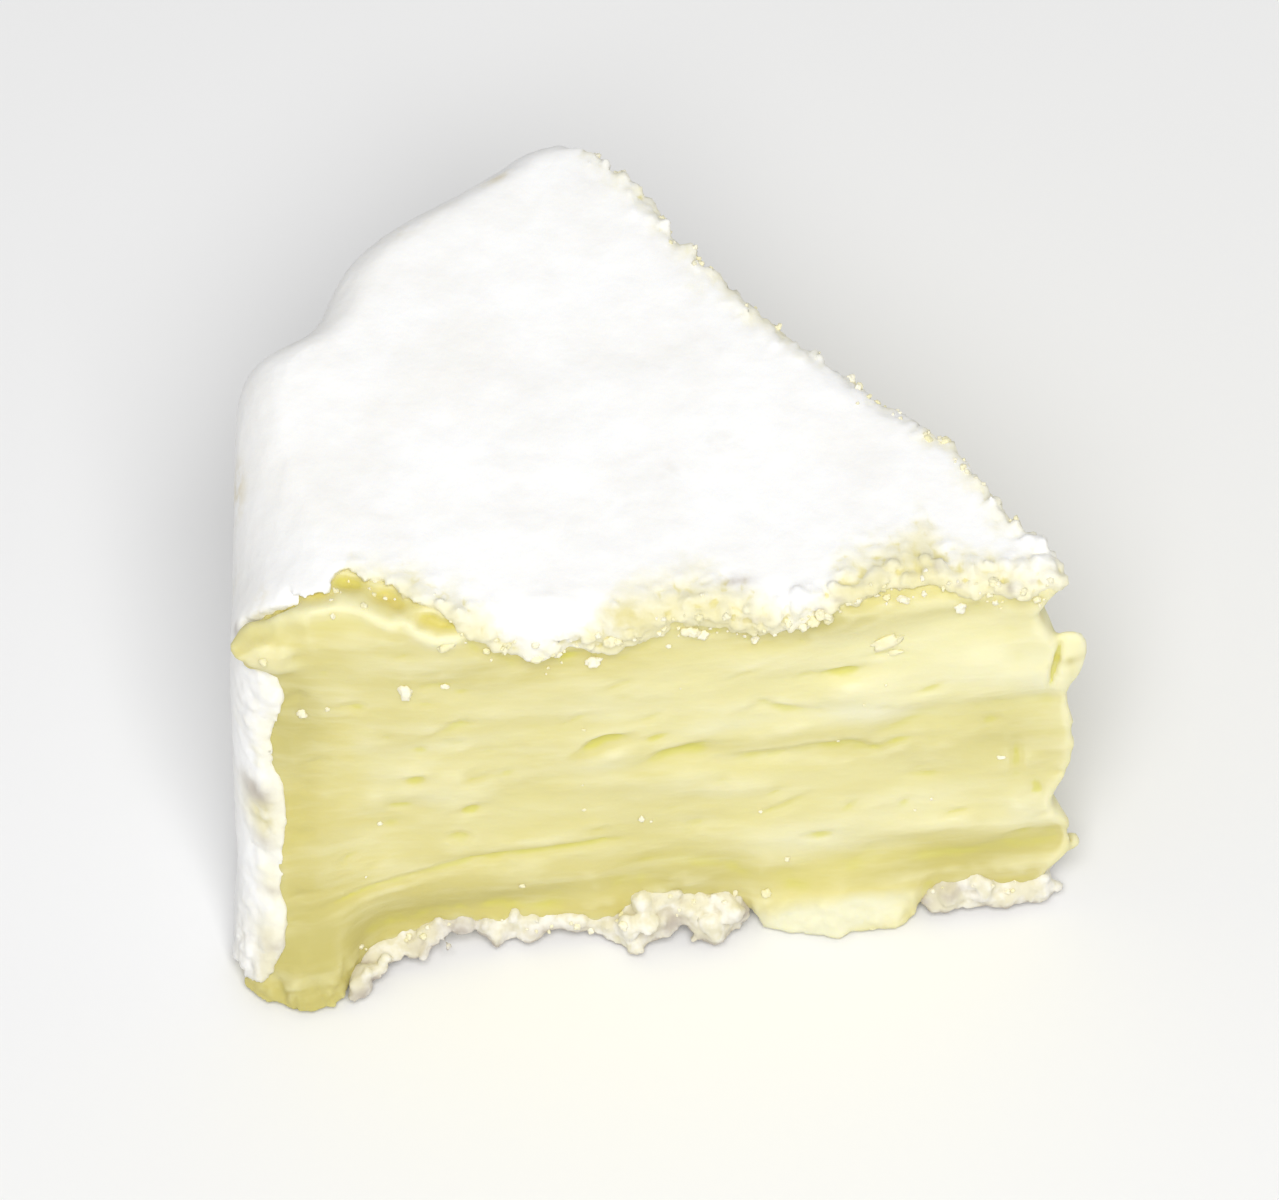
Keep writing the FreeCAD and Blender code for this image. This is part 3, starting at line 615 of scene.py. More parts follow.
def make_mesh(name, verts, faces, attrs, limit=None):
    """A piece from tip-frame millimetres, in metres in the row frame."""
    co = (verts + np.array([OX, OY, OZ])) / 1000.0
    me = bpy.data.meshes.new(name)
    k = faces.shape[1]
    me.vertices.add(len(co))
    me.vertices.foreach_set("co", co.astype(F).ravel())
    me.loops.add(faces.size)
    me.loops.foreach_set("vertex_index", faces.astype(np.int32).ravel())
    me.polygons.add(len(faces))
    me.polygons.foreach_set("loop_start", np.arange(0, faces.size, k, dtype=np.int32))
    me.polygons.foreach_set("use_smooth", np.ones(len(faces), bool))
    me.update(calc_edges=True)
    me.validate()
    for key, val in attrs.items():
        a = me.attributes.new(key, "FLOAT", "POINT")
        a.data.foreach_set("value", val.astype(F))
    ob = bpy.data.objects.new(name, me)
    bpy.context.scene.collection.objects.link(ob)
    count = len(faces) * (k - 2)
    if limit and count > limit:
        m = ob.modifiers.new("thin", "DECIMATE")
        m.ratio = limit / count
        dg = bpy.context.evaluated_depsgraph_get()
        new = bpy.data.meshes.new_from_object(ob.evaluated_get(dg))
        ob.modifiers.clear()
        ob.data = new
        new.name = name
        bpy.data.meshes.remove(me)
    return ob


# =============================================================== the two solids
def axis(parts):
    """Grid coordinates from (start, stop, step) stretches."""
    out = []
    for a, b, h in parts:
        n = max(1, int(round((b - a) / h)))
        out += list(a + (b - a) * np.arange(n) / n)
    out.append(parts[-1][1])
    return np.array(out, F)


STEP = 0.25
GX = axis([(-57.2, 4.4, STEP)])
GY = axis([(-7.6, 4.5, STEP), (4.5, 9.0, 1.4 * STEP), (9.0, 42.5, 1.8 * STEP)])
GZ = axis([(-1.2, 35.4, STEP)])


def sole_reach(x):
    """How far the lower rind stands in front of the near cut's foot."""
    return np.maximum(0.25, near_y(x, 0.8, False) - curve(x, FOOT_Y))


def mend(phi):
    """Fill the places where two insides only touch across a cell's face, so
    that the net of faces never meets itself along an edge."""
    for _ in range(20):
        inside = phi < 0
        fill = np.zeros(phi.shape, bool)
        for ax in range(3):
            u, v = [a for a in range(3) if a != ax]

            def part(i, j):
                sl = [slice(None)] * 3
                sl[u] = slice(i, phi.shape[u] - 1 + i)
                sl[v] = slice(j, phi.shape[v] - 1 + j)
                return tuple(sl)

            p00, p11, p01, p10 = part(0, 0), part(1, 1), part(0, 1), part(1, 0)
            a, b, c, d = inside[p00], inside[p11], inside[p01], inside[p10]
            one, two = a & b & ~c & ~d, c & d & ~a & ~b
            nearer = phi[p01] <= phi[p10]
            fill[p01] |= one & nearer
            fill[p10] |= one & ~nearer
            nearer = phi[p00] <= phi[p11]
            fill[p00] |= two & nearer
            fill[p11] |= two & ~nearer
        if not fill.any():
            break
        phi[fill] = -0.02
    return phi


def stamp(phi, places, radii, k, seed):
    """Union with small lumps, each worked out only where it reaches."""
    rng = np.random.default_rng(seed)
    for c, r in zip(places, radii):
        grow = rng.uniform(0.75, 1.35, 3)
        sl = tuple(slice(*np.searchsorted(ax, (m - r * g - 2 * k, m + r * g + 2 * k)))
                   for ax, m, g in zip((GX, GY, GZ), c, grow))
        x, y, z = GX[sl[0]][:, None, None], GY[sl[1]][None, :, None], GZ[sl[2]][None, None, :]
        q = np.sqrt(((x - c[0]) / grow[0]) ** 2 + ((y - c[1]) / grow[1]) ** 2 + ((z - c[2]) / grow[2]) ** 2) - r
        phi[sl] = blend_min(phi[sl], q.astype(F), F(k))


def scatter(where, count, low, high, seed):
    """Random places among the marked cells, with random sizes."""
    rng = np.random.default_rng(seed)
    cells = np.argwhere(where)
    pick = cells[rng.choice(len(cells), min(count, len(cells)), replace=False)]
    places = np.stack([GX[pick[:, 0]], GY[pick[:, 1]], GZ[pick[:, 2]]], 1) + rng.uniform(-0.12, 0.12, (len(pick), 3))
    return places, low + (high - low) * rng.random(len(pick)) ** 1.6


def billow(x, y, z, size, noise):
    """Rounded lumps with creases between them, about -0.5 to 1."""
    return np.abs(noise(x / size, y / size, z / size)) * 2.2 - 0.5


def build_fields():
    x, y, z = GX[:, None, None], GY[None, :, None], GZ[None, None, :]
    paste = wedge(x, y, z, True)
    shell = wedge(x, y, z, False)
    mask = rind_mask(x, y, z).astype(F)
    X, Y, Z = np.broadcast_arrays(x, y, z)

    # ragged torn edge, only where it can matter
    band = (np.abs(shell - 0.4) < 2.4) & (np.abs(mask) < 2.4)
    bx, by, bz = X[band], Y[band], Z[band]
    rag = 0.40 * N1(bx / 2.7, by / 2.7, bz / 2.7) + 0.50 * N2(bx / 1.25, by / 1.25, bz / 1.25)
    rag = rag + 0.34 * N3(bx / 0.62, by / 0.62, bz / 0.62)
    rag = rag * (1.0 - 0.62 * ease(-47.5, -49.0, bx) * (bz < 29))
    mask[band] = rind_mask(bx, by, bz, rag)

    # uneven thickness: the torn rind on the cuts is lumpy, and thin at its edge
    band = np.abs(shell - 0.6) < 2.6
    bx, by, bz = X[band], Y[band], Z[band]
    m = mask[band]
    b, bf = cut_depths(bx, by, bz)
    on_cut = 1.0 - ease(0.5, 2.4, np.minimum(np.maximum(b, 0), np.maximum(bf, 0)))
    lump = N4(bx / 1.7, by / 1.7, bz / 1.7)
    lump2 = N5(bx / 0.8, by / 0.8, bz / 0.8)
    lump3 = N6(bx / 0.45, by / 0.45, bz / 0.45)
    feather = ease(-0.4, 1.5, m)
    rough = 0.22 * lump + 0.20 * lump2 + 0.09 * lump3
    thick = SKIN + on_cut * (-0.36 * (1.0 - feather) - 0.04 + rough * (0.55 + 0.45 * feather))
    run = surface_run(H - bz, b)
    thick = thick - on_cut * spots(bx, run, DIMPLES)
    # the lower rind on the near cut reaches forward, most at its foot
    zf = curve(bx, SOLE)
    low = (1.0 - ease(0.35 * zf, zf + 0.6, bz)) * (1.0 - ease(0.0, 3.0, b)) * (bz < 6.0)
    reach = sole_reach(bx)
    thick = thick + low * (reach - 0.30 + 0.22 * lump * ease(0.3, 1.2, reach))
    t = shell[band] - np.maximum(thick, np.minimum(0.10, thick + 0.4))
    t = np.maximum(t, -bz)
    rind = np.maximum(shell - SKIN, -GZ[None, None, :]).astype(F)
    rind[band] = t
    # it lifts off the board along parts of the near cut
    yb = Y - near_y(GX[:, None, None], 0.0 * GZ[None, None, :], False)
    lift = curve(GX[:, None, None], LIFT) * (1.0 - ease(-0.6, 3.4, yb))
    rind = np.maximum(rind, (lift - Z).astype(F))
    rind = blend_max(rind, -mask, F(0.28)).astype(F)
    # curd-like lumps and shreds along every torn edge
    b, bf = (np.broadcast_to(v, rind.shape) for v in cut_depths(x, y, z))
    skin = np.abs(rind) < 0.22
    torn = skin & (mask > -0.3) & (mask < 1.3)
    edge_x = np.broadcast_to(curve(GX[:, None, None] * 0 + z, STRIP), rind.shape)
    run_out = (X > -20.2) & (X < -9.0)
    inner = skin & (mask > 0.15) & (mask < 1.5)
    for k, (where, count, low, high, soft) in enumerate((
            (inner & (b < 1.6) & (Z > 22) & (X > -36) & (X < 0.8), 150, 0.20, 0.42, 0.28),
            (skin & (mask > 1.2) & (mask < 3.4) & (b < 2.4) & (Z > 25) & (X > -24), 46, 0.25, 0.50, 0.40),
            (inner & (b < 1.6) & (Z > 22) & (X <= -36) & (X > -42), 8, 0.22, 0.42, 0.35),
            (skin & (b < 0.8) & (Z < 4.2) & (Z > 0.6) & (X > -46.4) & ~run_out, 90, 0.22, 0.52, 0.40),
            (inner & (bf < 1.6) & (b > 1.6), 260, 0.22, 0.50, 0.25),
    )):
        places, radii = scatter(where, count, low, high, 100 + k)
        stamp(rind, places, radii, soft, 200 + k)
    # the torn foot starts in a thick roll beside the lobe, and drips here and there
    stamp(rind, [p[:3] for p in ROLLS], [p[3] for p in ROLLS], 0.42, 300)
    rind = np.maximum(rind, -Z).astype(F)

    # the paste: recessed just under the torn edge, kept inside the rind
    bare = 1.0 - ease(-0.2, 0.6, mask)
    under = 0.16 * np.exp(-((mask + 0.6) / 0.8) ** 2)
    paste = paste + np.where(np.abs(mask) < 4.0, under * bare, 0.0) + 0.12 * (1.0 - bare)
    run = surface_run(H - Z, Y - near_y(GX[:, None, None], GZ[None, None, :], False))
    near_top = (np.abs(run) < 6.0) & (np.abs(paste) < 2.5)
    rx, rr = X[near_top], run[near_top]
    paste[near_top] += spots(rx, rr, PITS) + strokes(rx, -rr, [([(p[0], -p[1]) for p in pts], d, u, w)
                                                              for pts, d, u, w in CREST]) * (
        1.0 + 0.55 * N2(rx / 1.4, rr / 0.9, 0.5))
    # a mound of smeared paste rides over the top of the rim's rind
    for cx, cy, cz, ax, ay, az in SMEAR:
        q = np.sqrt(((X - cx) / ax) ** 2 + ((Y - cy) / ay) ** 2 + ((Z - cz) / az) ** 2) - 1.0
        q = q * min(ax, ay, az) + 0.32 * N2(X / 1.6, Y / 1.6, Z / 1.6) + 0.12 * N3(X / 0.7, Y / 0.7, Z / 0.7)
        paste = blend_min(paste, q.astype(F), F(0.8))
    # small flap of paste that folds out at the tip, a crease before it, and the nib lower down
    for cx, cy, cz, ax, ay, az, turn, k in FLAPS:
        c_, s_ = math.cos(turn), math.sin(turn)
        u, w = (X - cx) * c_ + (Z - cz) * s_, (Z - cz) * c_ - (X - cx) * s_
        q = (np.abs(u / ax) ** 2.6 + np.abs((Y - cy) / ay) ** 2.6 + np.abs(w / az) ** 2.6) ** (1 / 2.6) - 1.0
        q = q * min(ax, ay, az) * 1.1
        if k > 0:
            paste = blend_min(paste, q.astype(F), F(k))
        else:
            paste = blend_max(paste, -q.astype(F), F(-k))
    paste = np.maximum(paste, 0.03 + np.where(mask > -0.5, lift + 0.25, 0.0) - Z)
    return mend(paste.astype(F)), mend(rind)


def relief_of(v, q, n):
    """Signed bulge (positive) or hollow (negative) about a millimetre across."""
    soft = relax(v, q, [0.6] * 14)
    return ((v - soft) * n).sum(axis=1)


def paste_piece(phi):
    v, q = surface_nets(phi, GX, GY, GZ)
    v = relax(v, q, [0.5, -0.52] * 2)
    n = normals_of(v, q)
    x, y, z = v.T
    zz = z - 0.10 * x
    d = 0.022 * N4(x / 2.4, y / 2.4, zz / 1.1) + 0.014 * N5(x / 0.9, y / 0.9, zz / 0.6)
    run_out = (ease(-20.4, -19.0, x) * (1 - ease(-9.8, -8.6, x)) + 1.7 * bump(x, -50.0, 4.6)) * (1.0 - ease(1.4, 3.4, z))
    d = d + run_out * (0.20 * billow(x, y, z, 1.8, N1) + 0.09 * billow(x, y, z, 0.8, N3)) * (y < 0.0)
    v = v + n * d[:, None]
    v[:, 2] = np.maximum(v[:, 2], 0.01)
    x, y, z = v.T
    mask = rind_mask(x, y, z)
    b, bf = cut_depths(x, y, z)
    # painted shade: a darker ochre band just under the torn edge, darker towards the rim end and towards the foot
    painted_shade = 0.75 * np.exp(np.minimum(mask, 0.0) / 2.6)
    painted_shade = painted_shade + 0.40 * ease(-22.0, -50.0, x) + 0.45 * (1.0 - ease(1.0, 13.0, z))
    run = surface_run(H - z, b)
    dent = np.minimum(np.maximum(b, -2.0), np.maximum(bf, -2.0))
    # paler: painted light over the upper part towards the tip; paler paste along the smeared edge at the rim end
    pale_and_painted_light = np.maximum(ease(-34.0, -4.0, x) * ease(14.0, 27.0, z), ease(1.8, -0.4, run) * (x < -36.0) * (b < 8.0))
    crest = strokes(x, -run, [([(p[0], -p[1]) for p in pts], 1.0, 1.3 * u, 1.3 * w) for pts, d_, u, w in CREST])
    pit = spots(x, run, [(p[0], p[1], p[3], p[4]) for p in PITS], 1.15)
    # the smear and the run-out paste keep one colour: little of the painted shade in hollows and painted highlight on
    # bulges there
    relief = relief_of(v, q, n) * (1.0 - 0.75 * ease(-46.5, -48.5, x)) * (1.0 - 0.75 * np.clip(run_out, 0.0, 1.0))
    return v, q, {"edge": mask, "relief": relief, "painted_shade": painted_shade, "crest": crest, "pit": pit,
                  "dent": dent, "pale_and_painted_light": pale_and_painted_light, "tone_and_shade": patches(x, z, TONE_AND_SHADE_PATCHES) * (b < 2.2)}


def rind_piece(phi):
    v, q = surface_nets(phi, GX, GY, GZ)
    v = relax(v, q, [0.5, -0.52] * 2)
    n = normals_of(v, q)
    x, y, z = v.T
    b, bf = cut_depths(x, y, z)
    run = surface_run(H - z, b)
    cream = np.where(np.maximum(b, 0) < 9.0, run - curve(x, WHITE), -9.0)
    along, _ = far_parts(x, y)
    far_cream = surface_run(H - z, bf) - (lip_far(along) - 1.6)
    cream = np.maximum(cream, np.where(bf < 6.0, far_cream, -9.0))
    low = ease(28.5, 26.5, z)
    # the rim itself stays white
    rim = ease(-1.9, -0.6, np.hypot(x, y) - rim_radius(np.degrees(np.arctan2(y, x)) % 360.0, z))
    low = np.maximum(low, rim * ease(1.0, 3.0, b))
    cream = cream * (1.0 - low) - 9.0 * low
    side = np.minimum(b, bf)
    torn = ease(-1.5, 0.6, cream) + (1.0 - ease(3.0, 6.0, z)) * (1.0 - ease(1.0, 3.0, side))
    torn = np.clip(torn + (1.0 - ease(1.0, 4.0, side)) * (z < 31), 0.0, 1.0)
    curd = 0.6 * billow(x, y, z, 1.25, N1) + 0.4 * billow(x, y, z, 0.62, N3)
    fuzz = 0.04 * N6(x / 0.9, y / 0.9, z / 0.9) + 0.05 * N2(x / 2.3, y / 2.3, z / 2.3)
    strip = (1.0 - ease(1.0, 5.0, side)) * ease(3.0, 6.0, z) * (1.0 - ease(26.5, 28.5, z))
    fuzz = fuzz + torn * (1.0 - 0.72 * strip) * (0.15 * billow(x, y, z, 1.25, N1) + 0.10 * billow(x, y, z, 0.62, N3)
                                                 + 0.05 * N5(x / 0.42, y / 0.42, z / 0.42))
    v = v + n * (fuzz * ease(0.02, 0.5, z))[:, None]
    v[:, 2] = np.maximum(v[:, 2], 0.0)
    x, y, z = v.T
    mask = rind_mask(x, y, z)
    b, bf = cut_depths(x, y, z)
    run = surface_run(H - z, b)
    # painted shadow on the underside of the lifted lower rind
    yb = y - near_y(x, 0.0 * z, False)
    under = (1.0 - ease(0.0, 0.8, np.abs(z - curve(x, LIFT)))) * (yb < 4.0) * (z < 4.0) * (n[:, 2] < -0.2)
    return v, q, {"edge": mask, "cream": cream, "relief": relief_of(v, q, n), "under": under,
                  "low": (1.0 - ease(3.5, 6.5, z)) * (1.0 - ease(1.5, 4.0, side)) * (1.0 - 0.8 * rim), "curd": curd,
                  "strip": (1.0 - ease(1.0, 5.0, side)) * ease(3.0, 6.0, z) * (1.0 - ease(27.5, 31.0, z)),
                  "grey_and_shade": spots(x, z, GREY_AND_SHADE_SPOTS) * (b < 3.5) + spots(x, -run, LIP_GREY_AND_SHADE_SPOTS) * (b < 6.0) * (z > 26.0),
                  "ochre": spots(x, run, LIP_TONES) * (b < 6.0) * (z > 26.0) + spots(x, z, SIDE_TONES) * (b < 3.5),
                  "tan": patches(x, y, TANS) * (z > 24.0), "scratch_shade": patches(x, y, SCRATCH_SHADE_LINES) * (z > 30.0)}


def ball():
    """A unit ball of 320 triangles."""
    t = (1.0 + math.sqrt(5.0)) / 2.0
    v = [(-1, t, 0), (1, t, 0), (-1, -t, 0), (1, -t, 0), (0, -1, t), (0, 1, t),
         (0, -1, -t), (0, 1, -t), (t, 0, -1), (t, 0, 1), (-t, 0, -1), (-t, 0, 1)]
    v = [np.array(p, float) / math.hypot(1, t) for p in v]
    f = [(0, 11, 5), (0, 5, 1), (0, 1, 7), (0, 7, 10), (0, 10, 11), (1, 5, 9), (5, 11, 4), (11, 10, 2), (10, 7, 6),
         (7, 1, 8), (3, 9, 4), (3, 4, 2), (3, 2, 6), (3, 6, 8), (3, 8, 9), (4, 9, 5), (2, 4, 11), (6, 2, 10),
         (8, 6, 7), (9, 8, 1)]
    for _ in range(2):
        mid, out = {}, []

        def half(a, b):
            key = (min(a, b), max(a, b))
            if key not in mid:
                p = v[a] + v[b]
                v.append(p / np.linalg.norm(p))
                mid[key] = len(v) - 1
            return mid[key]

        for a, b, c in f:
            ab, bc, ca = half(a, b), half(b, c), half(c, a)
            out += [(a, ab, ca), (b, bc, ab), (c, ca, bc), (ab, bc, ca)]
        f = out
    return np.array(v), np.array(f)


# crumbs that can be told apart on the near side: x, z, half sizes across, up and out
CRUMBS = [(-41.5, 26.4, 0.50, 0.62, 0.42), (-38.9, 27.0, 0.22, 0.22, 0.2), (-48.3, 24.0, 0.32, 0.32, 0.26),
          (-29.3, 28.5, 0.55, 0.36, 0.4), (-28.1, 30.6, 0.5, 0.45, 0.4), (-22.9, 31.0, 0.50, 0.42, 0.42),
          (-22.2, 30.6, 0.36, 0.34, 0.36), (-15.1, 31.2, 0.42, 0.4, 0.4), (-14.6, 31.9, 0.36, 0.4, 0.4),
          (-15.7, 30.6, 0.30, 0.34, 0.3), (-14.1, 31.2, 0.34, 0.28, 0.3), (-10.4, 28.4, 1.25, 0.45, 0.32, 0.42),
          (-9.9, 27.2, 0.50, 0.20, 0.2, 0.2),
          (-26.9, 11.7, 0.20, 0.26, 0.2), (-19.1, 3.4, 0.32, 0.28, 0.26), (-5.6, 31.4, 0.36, 0.40, 0.3),
          (-9.2, 32.6, 0.42, 0.26, 0.3), (-3.4, 15.4, 0.30, 0.10, 0.12), (-32.9, 29.2, 0.42, 0.22, 0.22),
          (-38.6, 31.2, 0.55, 0.34, 0.3), (-50.4, 29.0, 0.30, 0.26, 0.3), (-43.9, 13.0, 0.16, 0.16, 0.16),
          (-35.0, 5.6, 0.20, 0.16, 0.16), (-17.6, 6.4, 0.18, 0.18, 0.18), (-46.6, 24.4, 0.16, 0.16, 0.16)]


def crumbs_piece():
    rng = np.random.default_rng(404)
    tree = BVHTree.FromPolygons(
        [tuple(p) for ob in (paste_ob, rind_ob) for p in coords(ob)],
        [tuple(int(i) + base for i in t) for ob, base in ((paste_ob, 0), (rind_ob, len(paste_ob.data.vertices)))
         for t in triangles(ob)])
    want = [((c[0], near_y(c[0], c[1], False), c[1]), c[2:5]) for c in CRUMBS]
    for _ in range(100):                                   # specks under the near lip
        x = rng.uniform(-36, 0.5) if rng.random() < 0.85 else rng.uniform(-47, -36)
        down = float(curve(np.array([x]), LIP)[0]) + rng.normal(0.1, 0.9)
        r = 0.08 + 0.18 * rng.random() ** 2.2
        place = (x, 0.6, H - down) if down > 0 else (x, 0.6 - down, H)
        want.append((place, r * rng.uniform(0.7, 1.3, 3)))
    for _ in range(40):                                    # along the foot
        x = rng.uniform(-47, 0)
        r = 0.10 + 0.16 * rng.random() ** 2
        want.append(((x, -1.0, float(curve(np.array([x]), SOLE)[0]) + rng.normal(0.0, 0.6)), r * rng.uniform(0.7, 1.3, 3)))
    for _ in range(12):                                    # a few loose on the near cut
        r = 0.06 + 0.06 * rng.random()
        want.append(((rng.uniform(-47, -1), 0.0, rng.uniform(6, 30)), r * rng.uniform(0.7, 1.3, 3)))
    near = len(want)
    for _ in range(110):                                   # and under the far lip
        a = rng.uniform(2, 46)
        x, y = FAR_X + a * math.cos(CUT_A), FAR_Y + a * math.sin(CUT_A)
        r = 0.10 + 0.18 * rng.random() ** 2
        down = float(lip_far(np.array([a]))[0]) + rng.normal(0.1, 0.8)
        want.append(((x, y, H - down), r * rng.uniform(0.7, 1.3, 3)))
    unit, tris = ball()
    verts, faces, shade = [], [], []
    for i, (place, size) in enumerate(want):
        toward = np.array((0.0, -0.62, 0.78)) if i < near else np.array((0.62, 0.48, 0.62))
        toward /= np.linalg.norm(toward)
        start = Vector(np.array(place, float) + toward * 30.0)
        hit, normal, _, _ = tree.ray_cast(start, Vector(-toward))
        if hit is None or (Vector(place) - hit).length > 4.5:
            continue
        n = np.array(normal)
        up = np.array((0.0, 0.0, 1.0)) - n * n[2]
        up = up / np.linalg.norm(up) if np.linalg.norm(up) > 0.1 else np.array((0.0, 1.0, 0.0))
        t = (CRUMBS[i] + (0.0,))[5] if i < len(CRUMBS) else rng.uniform(0, 2 * math.pi)
        side = np.cross(up, n) * math.cos(t) + up * math.sin(t)
        up = np.cross(n, side)
        p = unit + rng.uniform(-100, 100)
        lump = 1.0 + 0.55 * N1(p[:, 0] * 1.1, p[:, 1] * 1.1, p[:, 2] * 1.1) + 0.25 * N2(p[:, 0] * 2.3, p[:, 1] * 2.3, p[:, 2] * 2.3)
        q = unit * lump[:, None] * np.array(size)
        centre = np.array(hit) + n * (0.15 * size[2])
        verts.append(centre + q[:, :1] * side + q[:, 1:2] * up + q[:, 2:] * n)
        faces.append(tris + len(unit) * (len(verts) - 1))
        shade.append(np.full(len(unit), rng.random()))
    v = np.concatenate(verts)
    v[:, 2] = np.maximum(v[:, 2], 0.0)
    return v, np.concatenate(faces), {"shade": np.concatenate(shade)}


def coords(ob):
    co = np.empty(len(ob.data.vertices) * 3, F)
    ob.data.vertices.foreach_get("co", co)
    return co.reshape(-1, 3) * 1000.0 - np.array([OX, OY, OZ])


def triangles(ob):
    ob.data.calc_loop_triangles()
    t = np.empty(len(ob.data.loop_triangles) * 3, np.int32)
    ob.data.loop_triangles.foreach_get("vertices", t)
    return t.reshape(-1, 3)


paste_phi, rind_phi = build_fields()
print("fields %.1f s" % (time.time() - T0))
paste_ob = make_mesh("paste", *paste_piece(paste_phi), limit=190000)
rind_ob = make_mesh("rind", *rind_piece(rind_phi), limit=192000)
crumb_ob = make_mesh("crumbs", *crumbs_piece())
print("meshes %d, %d, %d faces, %.1f s" % (len(paste_ob.data.polygons), len(rind_ob.data.polygons),
                                           len(crumb_ob.data.polygons), time.time() - T0))


# =============================================================== materials
def srgb(r, g, b):
    def lin(c):
        c /= 255.0
        return c / 12.92 if c <= 0.04045 else ((c + 0.055) / 1.055) ** 2.4
    return (lin(r), lin(g), lin(b), 1.0)


class Tree:
    def __init__(self, name):
        self.mat = bpy.data.materials.new(name)
        self.mat.use_nodes = True
        self.t = self.mat.node_tree
        self.t.nodes.clear()
        self.out = self.t.nodes.new("ShaderNodeOutputMaterial")
        self.bsdf = self.t.nodes.new("ShaderNodeBsdfPrincipled")
        self.link(self.bsdf.outputs[0], self.out.inputs[0])
        self.co = self.t.nodes.new("ShaderNodeTexCoord").outputs["Object"]

    def link(self, a, b):
        self.t.links.new(a, b)

    def put(self, sock, v):
        if isinstance(v, bpy.types.NodeSocket):
            self.link(v, sock)
        else:
            sock.default_value = v

    def attr(self, name):
        n = self.t.nodes.new("ShaderNodeAttribute")
        n.attribute_name = name
        return n.outputs["Fac"]

    def math(self, op, a, b=None, c=None, clamp=False):
        n = self.t.nodes.new("ShaderNodeMath")
        n.operation = op
        n.use_clamp = clamp
        for s, v in zip(n.inputs, (a, b, c)):
            if v is not None:
                self.put(s, v)
        return n.outputs[0]

    def map(self, v, a, b, c=0.0, d=1.0, smooth=True):
        n = self.t.nodes.new("ShaderNodeMapRange")
        n.interpolation_type = "SMOOTHSTEP" if smooth else "LINEAR"
        for i, k in enumerate((v, a, b, c, d)):
            self.put(n.inputs[i], k)
        return n.outputs[0]

    def scaled(self, sx, sy, sz, rot=(0, 0, 0)):
        n = self.t.nodes.new("ShaderNodeMapping")
        n.inputs["Scale"].default_value = (sx, sy, sz)
        n.inputs["Rotation"].default_value = rot
        self.link(self.co, n.inputs["Vector"])
        return n.outputs[0]

    def noise(self, vec, scale, detail=3.0, rough=0.5, lac=2.0, out="Fac"):
        n = self.t.nodes.new("ShaderNodeTexNoise")
        self.link(vec, n.inputs["Vector"])
        n.inputs["Scale"].default_value = scale
        n.inputs["Detail"].default_value = detail
        n.inputs["Roughness"].default_value = rough
        n.inputs["Lacunarity"].default_value = lac
        return n.outputs[out]

    def mix(self, fac, a, b):
        n = self.t.nodes.new("ShaderNodeMix")
        n.data_type = "RGBA"
        self.put(n.inputs[0], fac)
        self.put(n.inputs[6], a)
        self.put(n.inputs[7], b)
        return n.outputs[2]

    def bump(self, height, strength, distance, normal=None):
        n = self.t.nodes.new("ShaderNodeBump")
        n.inputs["Strength"].default_value = strength
        n.inputs["Distance"].default_value = distance
        self.link(height, n.inputs["Height"])
        if normal is not None:
            self.link(normal, n.inputs["Normal"])
        return n.outputs[0]


